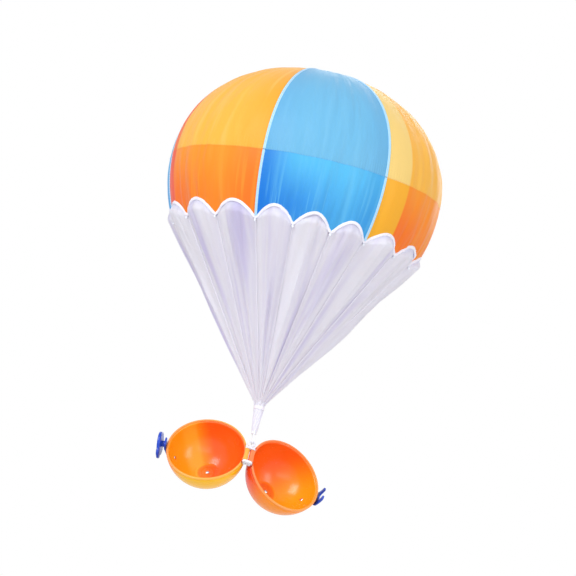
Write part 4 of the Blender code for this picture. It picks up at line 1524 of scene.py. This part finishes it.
# %% The latch
head_radius = 0.0110
head_top = head_base + head_thick
lobe_radius = 0.0062
lobe_offset = 0.0105
raised_radius = 0.0036
edge = 0.00075
dish = head_top - 0.0002
head = [(0, strap_inner), (stem_radius, strap_inner), (stem_radius, head_base)]
head += arc(edge, -math.pi / 2, 0, 4, (head_radius - edge, head_base + edge))
head += arc(edge, 0, math.pi / 2, 4, (head_radius - edge, head_top - edge))
head += [(0.0094, head_top), (0.0092, dish), (0.0086, dish), (0.0084, head_top), (0, head_top)]
latch_place = places["left"] @ along_ray(0)
lobe_place = latch_place @ Matrix.Translation((0, -lobe_offset, 0))
latch = solid("latch_head", turned(head, 64), latch_place, looks["strap"])
lobe = turned(rounded_rod(lobe_radius, head_base, head_top - edge, 0.0006), 48)
combine(latch, solid("lobe", lobe, lobe_place, looks["strap"]), "UNION")
ring_turns = [math.tau * i / 48 for i in range(48)]
ring_path = [Vector((x, y, head_top - edge)) for x, y in arc(raised_radius, 0, math.tau, 48)[:-1]]
ring_sides = [Vector((math.cos(t), math.sin(t), 0)) for t in ring_turns]
raised_ring = tube(ring_path, ring_sides, 0.0007, 12)
combine(latch, solid("raised_ring", raised_ring, lobe_place, looks["strap"]), "UNION")
shade(latch)
settle(latch, "half_left", "blue_plastic", "latch_button")

# %% [markdown]
# ## Rivets, pins and links
# Two rivets hold each strap. A rivet has a low domed head with a flange outside, and a set end inside
# the half. The pins have a head at one end, and turn in the knuckles between the two white plates.
# There are few of them and they differ in length, so a loop turns each one from its own profile.

# %% Rivets
def rivet_profile(inner):
    base = strap_outer
    shank = 0.0010
    dome = arc(0.0022, math.radians(14), math.pi / 2, 6, (0, base - 0.0006))
    dome = [(radius, max(height, base)) for radius, height in dome]
    set_end = [(0, inner - 0.0005), (0.0013, inner - 0.0005), (0.0017, inner - 0.0003), (0.0018, inner)]
    flange = [(shank, inner), (shank, base), (0.0022, base), (0.00225, base + 0.00015)]
    return set_end + flange + dome[1:-1] + [(0, dome[-1][1])]


inner_wall = ball_radius - wall
floor_depth = math.sqrt(inner_wall ** 2 - floor_radius ** 2)
for side in ("left", "right"):
    for word, degrees, inner in (("near", 30, inner_wall - 0.00005), ("far", 90, floor_depth - 0.00025)):
        place = places[side] @ along_ray(math.radians(degrees))
        rivet = solid(f"rivet_head_{side}_{word}", turned(rivet_profile(inner), 28), place, looks["steel"])
        settle(rivet, "half_" + side, "steel", f"rivet_{side}_{word}")

# %% Link plates and ring
pin_places = {side: hinge_place @ Matrix.Translation((0, side * pin_offset, 0)) for side in (-1, 1)}
link_outline = arc(link_radius, 0, math.pi, 20, (0, pin_offset))
link_outline += arc(-link_radius, 0, math.pi, 20, (0, -pin_offset))
ring_radius = 0.0030
post_end = link_high + post_length
ring_height = post_end + ring_radius
upper = solid("link_plate_upper", prism(link_outline, link_low, link_high), hinge_place, looks["link"])
lower = solid("link_plate_lower", prism(link_outline, -link_high, -link_low), hinge_place, looks["link"])
for pin_place in pin_places.values():
    combine(upper, drill(link_low - 0.001, link_low + 0.0016, pin_place))
    combine(lower, drill(-link_high - 0.001, -link_low + 0.001, pin_place))
soften(upper, 0.00025)
soften(lower, 0.00025)
flare = [(0.0019, link_high - 0.0002), (0.0016, link_high + 0.0003), (0.0013, link_high + 0.0009)]
post = [(0, link_high - 0.0008)] + flare + [(0.0012, post_end), (0, post_end)]
combine(upper, solid("post", turned(post, 28), hinge_place, looks["link"]), "UNION")
ring_sides = [Vector((0, math.cos(t), math.sin(t))) for t in ring_turns]
ring_path = [side * ring_radius + Vector((0, 0, ring_height)) for side in ring_sides]
combine(upper, solid("ring", tube(ring_path, ring_sides, 0.0009, 14), hinge_place, looks["link"]), "UNION")
shade(upper)
settle(upper, "hinge_link", "white_plastic", "hinge_link_upper")
settle(lower, "hinge_link", "white_plastic", "hinge_link_lower")

# %% Pins
head = -link_high - 0.0003
tip = link_low + pin_depth
pin = [(0, head - 0.0009)] + arc(0.0004, -math.pi / 2, 0, 3, (0.0014, head - 0.0005))
pin += [(0.0018, head), (pin_radius, head), (pin_radius, tip - 0.0002), (0.0008, tip), (0, tip)]
for word, side in (("left", -1), ("right", 1)):
    made = solid(f"pin_{word}", turned(pin, 28), pin_places[side], looks["steel"])
    settle(made, "hinge_link", "steel", f"hinge_pin_{word}")

# %% [markdown]
# The neck's foot ends in a sewn loop of cord that hangs through the ring. It is a tube along a closed
# path with two straight sides, taut under the ball's weight. A torus would be too round for that.

# %% The neck's loop
loop_half = 0.0030
loop_length = 0.0075
loop_low = 0.0008
loop_side = Vector((-hinge_across.y, hinge_across.x, 0)).normalized()
loop_path = []
for end, height in ((-1, loop_low), (1, loop_low + loop_length)):
    for i in range(17):
        turn = math.pi * i / 16
        loop_path.append(eye_point + loop_side * (end * loop_half * math.cos(turn))
                         + Vector((0, 0, height + end * loop_half * math.sin(turn))))
loop_normal = [Vector((hinge_across.x, hinge_across.y, 0))] * len(loop_path)
loop = solid("neck_loop", tube(loop_path, loop_normal, 0.00068, 12), Matrix.Identity(4), looks["thread"])
settle(loop, "tether", "white_cord")

# %% [markdown]
# ## The crown
# The gores meet at the crown under a round patch of blue cloth, sewn down with a ring of stitches. A
# flat disc would stand off the dome. The patch is a round grid on the dome's own formula, slightly
# quilted between its stitches.

# %% Crown patch
def crown_drop(out):
    """The dome's height against the crown, at a distance out from the axis."""
    share = out / widest_radius
    return ((1.0 - share ** side_power) ** (1 / top_power) - 1.0) * widest_to_crown


patch_thickness = 0.0006
quilt_height = 0.00012
patch = Recipe("crown_patch", radius=crown_patch_radius, columns=97, rows=17, look="cloth")
grid, grid_x, grid_y = patch.grid()
angle = (grid_x + 0.5) * math.tau
out = (grid_y + 0.5) * patch["radius"]
near_edge = smooth_step(grid_y + 0.5, 0.86, 1.0)
quilt = (angle * 12.0).sine() * near_edge * quilt_height
cloth = patch.store_uv(grid, vector(angle.sine() * out, angle.cosine() * out, 0.0))
cloth = patch.store(cloth, "gore_place", vector(0.5, 0.6, 0.5))
patch.end_closed(patch.move(cloth, around(angle, out, crown_drop(out) + quilt)))
patch_piece = patch.grow("crown_cloth", look=looks["blue_lower"])
patch_area = make_sheet(patch_piece, patch_thickness)
settle(patch_piece, "canopy", "blue_cloth", "crown_patch")

# %% Stitches round the patch
crown_rows = Recipe("crown_stitches", radius=crown_patch_radius - 0.0022, count=58, stitch=0.0019,
                    thread=0.00034, look="thread")
rise = vector(0.0, 0.0, crown_drop(crown_rows["radius"]) + 0.00015)
ring = crown_rows.circle(116, crown_rows["radius"])
ring = crown_rows.add("GeometryNodeSetPosition", {"Geometry": ring, "Offset": rise})
crown_rows.end(stitches_along(crown_rows, ring))
settle(crown_rows.grow("crown_stitches", look=looks["thread"]), "canopy", "white_cord")
